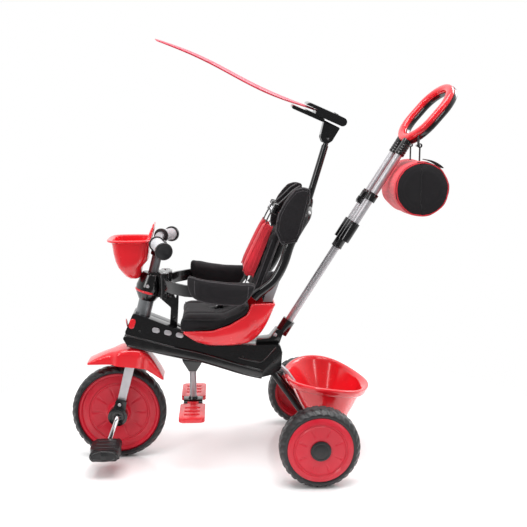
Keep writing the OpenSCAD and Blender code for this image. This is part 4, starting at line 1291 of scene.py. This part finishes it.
def prism_on_bar(name, outline, y0, y1):
    """An outline of (x, z) in the push bar's frame, extruded across it."""
    return extrusion(name, [on_bar(x, y, z) for y in (y0, y1) for x, z in outline])


# ---- Bag ----


def make_bag():
    """A round zipped bag with black ends, slightly crumpled."""
    centre = middle("bag_body") - Vector((0.007, 0, 0))
    radius, half = 0.0705, 0.0945
    crumple_depth, sag = 0.0009, 0.0022
    rings = []
    for k in range(37):
        y = -half + 2 * half * k / 36
        r = radius - 0.004 * max(0, abs(y) - half + 0.006) / 0.006
        rings.append([centre + Vector((r * sin(t), y, r * cos(t))) for t in angles(72)])
    made = grow(loft("bag_shell", rings), 0.0035, 0.005)
    made.data.shade_smooth()
    made.data.update()
    for v in made.data.vertices:
        p = v.co - centre
        t = atan2(p.x, p.z)
        crumple = sin(5 * t + 40 * p.y) * sin(3 * t - 25 * p.y + 1) + 0.6 * sin(9 * t + 2)
        v.co += v.normal * crumple_depth * crumple * (1 - abs(v.normal.y))
        v.co.z -= sag * max(0, p.z / radius) * (1 - (p.y / half) ** 2)
        if abs(v.normal.y) > 0.8:
            v.co.y -= 0.0022 * exp(-((p.x - 0.004) / 0.0022) ** 2) * (1 if p.y > 0 else -1)
    refine(made)
    finish_piece(made, "bag", "fabric_red", ("bag_body",), 0)
    made.data.materials.append(MATERIALS["fabric_black"])
    for face in made.data.polygons:
        if abs(face.normal.y) > 0.45:
            face.material_index = 1
    for side, word in LEFT_RIGHT:
        ring = [centre + Vector((radius * sin(t), side * (half + 0.003), radius * cos(t)))
            for t in angles(40)]
        edging(f"bag_edging_{word}", made, ring, "bag", "fabric_red", 0.0016)
        seam_line = [centre + Vector((0.004, side * (half + 0.01), 0.055 - 0.11 * j / 10)) for j in range(11)]
        edging(f"bag_zip_{word}", made, seam_line, "bag", "webbing_black", 0.0012, False)
    flap = []
    for k in range(9):
        t = radians(-8 - 36 * k / 8)
        flap.append(centre + Vector((0.0742 * sin(t), 0.066, 0.0742 * cos(t))))
    strap("bag_flap", flap, 52, 2.4, "bag", (0, 0, 1), "webbing_black")
    for side in (1, -1):
        y = side * 0.050
        path = [centre + Vector((0.0, y, 0.069))]
        path += [Vector((centre.x, y, PEG_Z * MM - 0.022)), Vector((centre.x, y, PEG_Z * MM - 0.0055))]
        strap(f"bag_strap_{side + 1}", path, 9, 2.2, "bag", (1, 0, 0), "webbing_black",
            ("bag_straps",) if side > 0 else ())
        eye = lathe(f"bag_strap_eye_{side + 1}",
            [(-0.0045, 0.0034), (-0.0045, 0.0052), (-0.0035, 0.0058), (0.0035, 0.0058),
            (0.0045, 0.0052), (0.0045, 0.0034)], Vector((centre.x, y, PEG_Z * MM)), (0, 1, 0), 28)
        finish_piece(eye, "bag", "webbing_black", (), 40)


# ---- Canopy ----


CANOPY_TURN = Matrix.Rotation(-radians(23.4), 3, "Y") @ Matrix.Rotation(-radians(5), 3, "X")
CANOPY_LONG = 404
CLOTH_START, CLOTH_LENGTH = -28, 434


def on_canopy(x, y, z):
    """A point in the canopy's frame, in millimetres: x along it, y across, z above it."""
    return at(-492, 0, 932) + CANOPY_TURN @ (Vector((x, y, z)) * MM)


def canopy_half(x):
    """Half of the canopy's width at x."""
    if x < 110:
        return 27 + 125 * smooth_step(-30, 118, x)
    side = 152 - 12 * smooth_step(110, 330, x)
    front = max(0.0, (x - 318) / 90)
    return side * sqrt(max(0.0, 1 - front ** 2.6)) if front > 0 else side


def canopy_rise(x, y):
    """Height of the cloth: a slow bow along it, and a slack middle between the edges."""
    share = y / max(20, canopy_half(x))
    slack = -5 * (1 - share ** 2) * sin(pi * max(0, min(1, (x + 20) / 420)))
    ripple = 0.8 * sin(0.045 * x + 0.03 * y) * (1 - share ** 2)
    return -5 * sin(2 * pi * x / CANOPY_LONG) - 1.6 + slack * 0.45 + ripple


def make_canopy():
    """One thin curved sheet on a sprung edge wire, with a bound edge."""
    rows, columns = 56, 41
    points = []
    for i in range(rows):
        x = CLOTH_START + CLOTH_LENGTH * (1 - (1 - i / (rows - 1)) ** 1.25)
        for j in range(columns):
            y = canopy_half(x) * (2 * j / (columns - 1) - 1)
            points.append(on_canopy(x, y, canopy_rise(x, y)))
    made = build("canopy_sheet", points, grid(rows, columns))
    thicken(made, 0.0009)
    finish_piece(made, "canopy", "canopy_red", ("canopy_fabric",), 0)
    slices = 400
    for i in range(slices):
        x = CLOTH_START + CLOTH_LENGTH * (i + 0.5) / slices
    xs = [CLOTH_START + 432 * k / 48 for k in range(49)]
    edge = [on_canopy(x, canopy_half(x) - 1, canopy_rise(x, canopy_half(x)) - 0.4) for x in xs]
    far = [on_canopy(x, -canopy_half(x) + 1, canopy_rise(x, -canopy_half(x)) - 0.4) for x in reversed(xs)]
    hem = tube("canopy_binding", curve_through(edge + far, 2), 0.0012, UP, False, 8)
    finish_piece(hem, "canopy", "canopy_edge", (), 0)
    xs = [-26 + 424 * k / 40 for k in range(41)]
    wire = [on_canopy(x, canopy_half(x) - 6, canopy_rise(x, canopy_half(x) - 6) - 2.0) for x in xs]
    back = [on_canopy(x, -canopy_half(x) + 6, canopy_rise(x, -canopy_half(x) + 6) - 2.0)
        for x in reversed(xs)]
    hoop = tube("canopy_wire", curve_through(wire + back, 2), 0.0013, UP, False, 8)
    finish_piece(hoop, "canopy", "canopy_edge", ("canopy_hoop",), 0)
    for k, x in enumerate((130, 262)):
        line = [on_canopy(x, canopy_half(x) * (j / 10 - 1),
            canopy_rise(x, canopy_half(x) * (j / 10 - 1)) + 0.5) for j in range(21)]
        strap(f"canopy_seam_{k}", line, 5, 1.0, "canopy", CANOPY_TURN @ UP, "canopy_edge")
    moulded("canopy_bracket", 0.0015)
    moulded("canopy_hub", 0.004, None, 4)
    for side in (-1, 1):
        screw(f"canopy_screw_{side + 1}", at(-551, side * 15.9, 846), (0, side, 0), 0.0055, "canopy",
            "black_matt")
        screw(f"hub_screw_{side + 1}", on_canopy(-84, side * 26, 10.6), CANOPY_TURN @ UP, 0.004, "canopy",
            "black_matt")


add_camera()
add_studio()
make_wheels()
make_cranks()
make_frame()
make_stripe()
make_beads()
make_back_frame()
make_fork()
make_fender()
make_handlebar()
make_front_basket()
make_rear_basket()
make_seat()
make_harness()
make_guards()
make_handle()
make_bag()
make_canopy()
